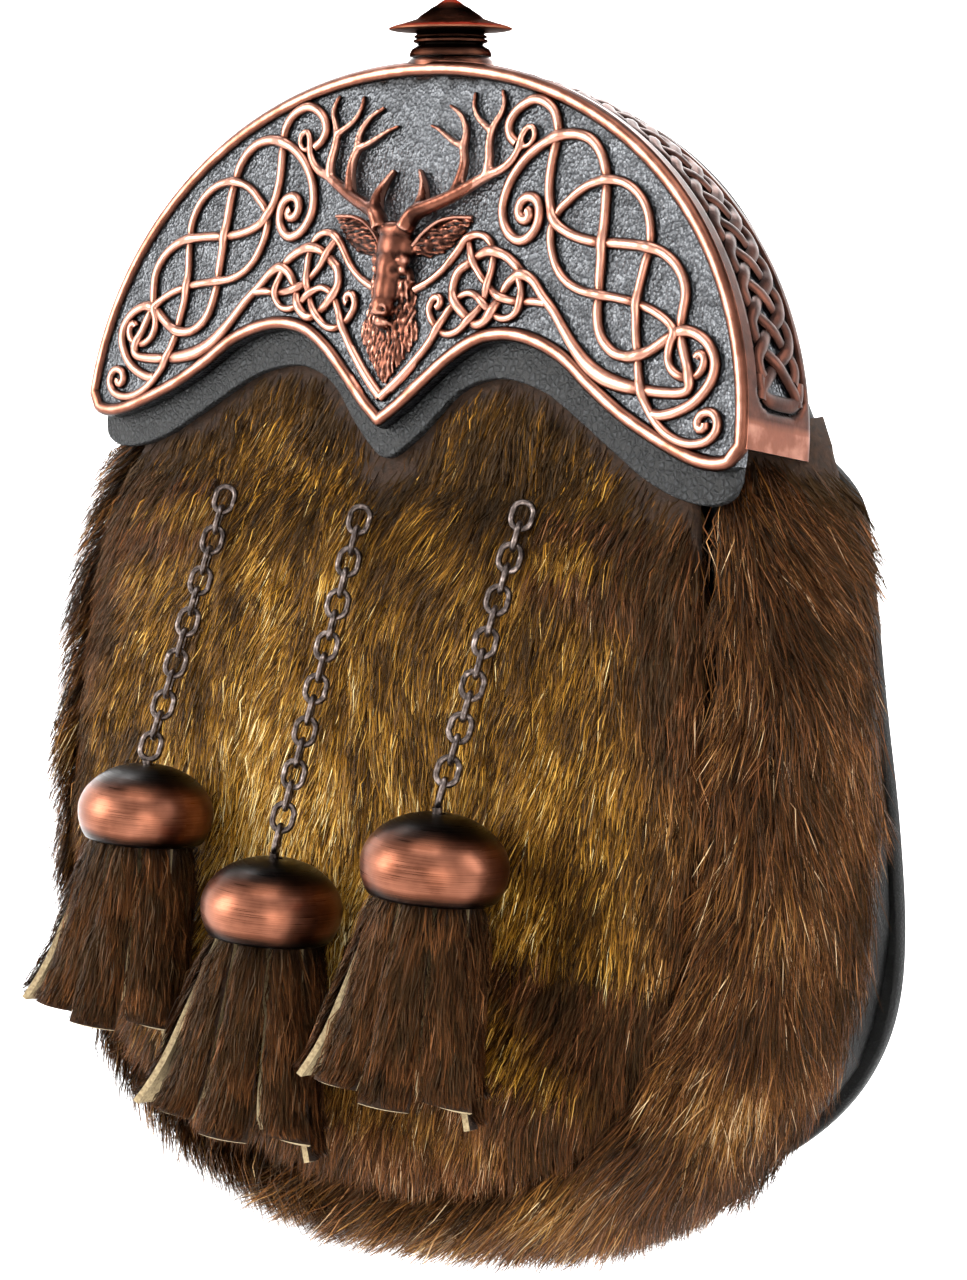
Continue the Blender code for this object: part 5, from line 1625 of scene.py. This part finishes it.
def make_cove(material):
    """A pale floor that turns up into a wall all round."""
    low = CAD_LOW.z - FLOOR_DROP
    flat = COVE_RADIUS - COVE_FILLET
    rows = [(0.0, low), (flat, low)]
    for k in range(1, 9):
        angle = math.pi / 2 * k / 8
        rows.append((flat + COVE_FILLET * math.sin(angle), low + COVE_FILLET * (1 - math.cos(angle))))
    rows.append((COVE_RADIUS, low + COVE_HEIGHT))
    bm = bmesh.new()
    verts = [bm.verts.new((radius, 0, height)) for radius, height in rows]
    for a, b in zip(verts, verts[1:]):
        bm.edges.new((a, b))
    bmesh.ops.spin(
        bm, geom=list(bm.verts) + list(bm.edges), cent=(0, 0, 0), axis=(0, 0, 1), angle=2 * math.pi, steps=64,
        use_merge=True,
    )
    bmesh.ops.remove_doubles(bm, verts=bm.verts, dist=1e-6)
    bm.normal_update()
    if bm.faces[:][0].normal.z < 0:
        bmesh.ops.reverse_faces(bm, faces=bm.faces)
    return object_of("floor_cove", mesh_of("floor_cove", bm), material)


def softbox(name, place, aim, width, height, power, colour):
    """A rectangular light at a place, turned to another."""
    data = bpy.data.lights.new(name, "AREA")
    data.shape = "RECTANGLE"
    data.size = width
    data.size_y = height
    data.energy = power
    data.color = linear(colour)[:3]
    light = bpy.data.objects.new(name, data)
    bpy.context.scene.collection.objects.link(light)
    place = Vector(place)
    turn = (place - Vector(aim)).to_track_quat("Z", "Y").to_matrix().to_4x4()
    light.matrix_world = Matrix.Translation(place) @ turn
    return light


def make_camera():
    data = bpy.data.cameras.new("camera")
    data.lens = CAMERA_LENS_MM
    data.sensor_width = 36.0
    camera = bpy.data.objects.new("camera", data)
    bpy.context.scene.collection.objects.link(camera)
    turn = Matrix.Rotation(math.radians(CAMERA_TURN_DEG), 4, "Z")
    rise = Matrix.Rotation(math.radians(90 - CAMERA_RISE_DEG), 4, "X")
    camera.matrix_world = Matrix.Translation(CAMERA_PLACE) @ turn @ rise
    bpy.context.scene.camera = camera


def light_studio():
    """Large soft lights: a key that the cantle's face mirrors to the camera, a fill, a top and a rim."""
    softbox("key", (-0.62, -0.80, 0.22), (0, -0.03, -0.03), 0.45, 0.65, 12.0, "#FFFDFA")
    softbox("fill", (0.85, -0.75, 0.05), (0, -0.03, -0.05), 0.5, 0.8, 5.0, "#FFF8F0")
    softbox("top", (0.05, -0.25, 0.85), (0, -0.03, -0.05), 0.6, 0.5, 4.5, "#FFFFFF")
    softbox("rim", (0.75, 0.35, 0.35), (0.05, -0.03, -0.06), 0.4, 0.7, 5.0, "#FFFFFF")
    softbox("wall", (-0.50, 0.55, 0.90), (-1.05, 1.15, -0.30), 1.2, 0.7, 45.0, "#FFFFFF")
    world = bpy.data.worlds.new("studio")
    world.use_nodes = True
    background = world.node_tree.nodes["Background"]
    background.inputs["Color"].default_value = linear("#EEF1F6")
    background.inputs["Strength"].default_value = 0.42
    bpy.context.scene.world = world
    bpy.context.scene.view_settings.view_transform = "Standard"


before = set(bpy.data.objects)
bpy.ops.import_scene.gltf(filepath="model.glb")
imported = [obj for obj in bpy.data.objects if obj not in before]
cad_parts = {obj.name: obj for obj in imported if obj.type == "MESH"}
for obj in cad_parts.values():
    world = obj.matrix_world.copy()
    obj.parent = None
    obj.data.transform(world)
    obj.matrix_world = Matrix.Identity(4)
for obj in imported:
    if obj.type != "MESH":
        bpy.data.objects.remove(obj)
CAD_LOW, CAD_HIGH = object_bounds()

cantle_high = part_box("cantle")[1]
back_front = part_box("back_panel")[0].y
FACE_FOOT = Vector((
    0,
    back_front - CLEAR - CANTLE_HEIGHT * math.sin(CANTLE_LEAN) - BAND_DEPTH_TOP * math.cos(CANTLE_LEAN),
    cantle_high.z - SEAT_RISE - CANTLE_HEIGHT * math.cos(CANTLE_LEAN),
))
FACE = Matrix.Translation(FACE_FOOT) @ Matrix.Rotation(math.pi / 2 - CANTLE_LEAN, 4, "X")
FACE_OUT = FACE.to_3x3() @ Vector((0, 0, 1))
knob_low, knob_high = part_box("clasp_knob")
KNOB_AXIS = Matrix.Translation((0, (knob_low.y + knob_high.y) / 2, knob_high.z - KNOB_HEIGHT))

make_camera()
light_studio()

CAST = cast_copper()
BRUSHED = brushed_copper()
BRONZE = turned_bronze()
STEEL = chain_steel()
GRAINED = leather("black_grained_cowhide", "#070808", "#212325", 0.0011, 0.00022, 0.56, 0.30)
SMOOTH = leather("black_smooth_cowhide", "#030303", "#0C0E0D", 0.0007, 0.00006, 0.50, 0.18)
FUR = fur("brindle_fur", 0.44, 0.30)
HIDE = plain_hide("cream_suede_hide", "#76644A", "#AE9C78", 0.0006, 0.85)
SKIN = plain_hide("dark_fur_skin", "#1A1009", "#352213", 0.0010, 0.9)
THREAD = plain_hide("waxed_black_thread", "#101010", "#2C2C2C", 0.0005, 0.6)
PALE = plain_hide("pale_matt_floor", "#F2F2F2", "#F6F6F6", 0.2, 0.9)

make_cove(PALE)

casting = make_cantle(CAST)
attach(casting, "pouch")
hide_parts("cantle")

knob = make_knob(BRONZE)
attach(knob, "knob")
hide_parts("clasp_knob")

flap = make_flap(GRAINED)
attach(flap, "pouch")
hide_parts("cantle_flap")

panel = make_back_panel(SMOOTH)
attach(panel, "pouch")
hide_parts("back_panel")

loop = make_strap_loop(SMOOTH)
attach(loop, "pouch")
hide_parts("strap_loop")

stitches = make_stitches(THREAD)
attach(stitches, "pouch")

gusset = soft_skin("sewn_gusset", "gusset", 2, 3, SMOOTH)
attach(gusset, "pouch")
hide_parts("gusset")

front_skin = soft_skin("front_hide", "front_panel", 3, 8, SKIN)
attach(front_skin, "pouch")
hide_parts("front_panel")

border_skin = make_border_hide(SKIN)
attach(border_skin, "pouch")
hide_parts("fur_border")

for layer, seed in (("under", 17), ("over", 29)):
    front_hair = make_front_fur(front_skin, "front_fur_" + layer, FRONT_HAIRS, seed, FUR)
    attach(front_hair, "pouch")
    border_hair = make_border_fur(border_skin, "border_fur_" + layer, BORDER_HAIRS, seed + 1, FUR)
    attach(border_hair, "pouch")

for side_name, half_width in TASSEL_ROWS:
    bell = make_bell(side_name, BRUSHED)
    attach(bell, "pouch")
    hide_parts("bell_" + side_name)
    chain = make_chain(side_name, STEEL)
    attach(chain, "pouch")
    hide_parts("chain_" + side_name)
    strips, coat = make_tassel(side_name, half_width, HIDE, SKIN, FUR)
    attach(strips, "pouch")
    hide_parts("tassel_" + side_name)
    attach(coat, "pouch")
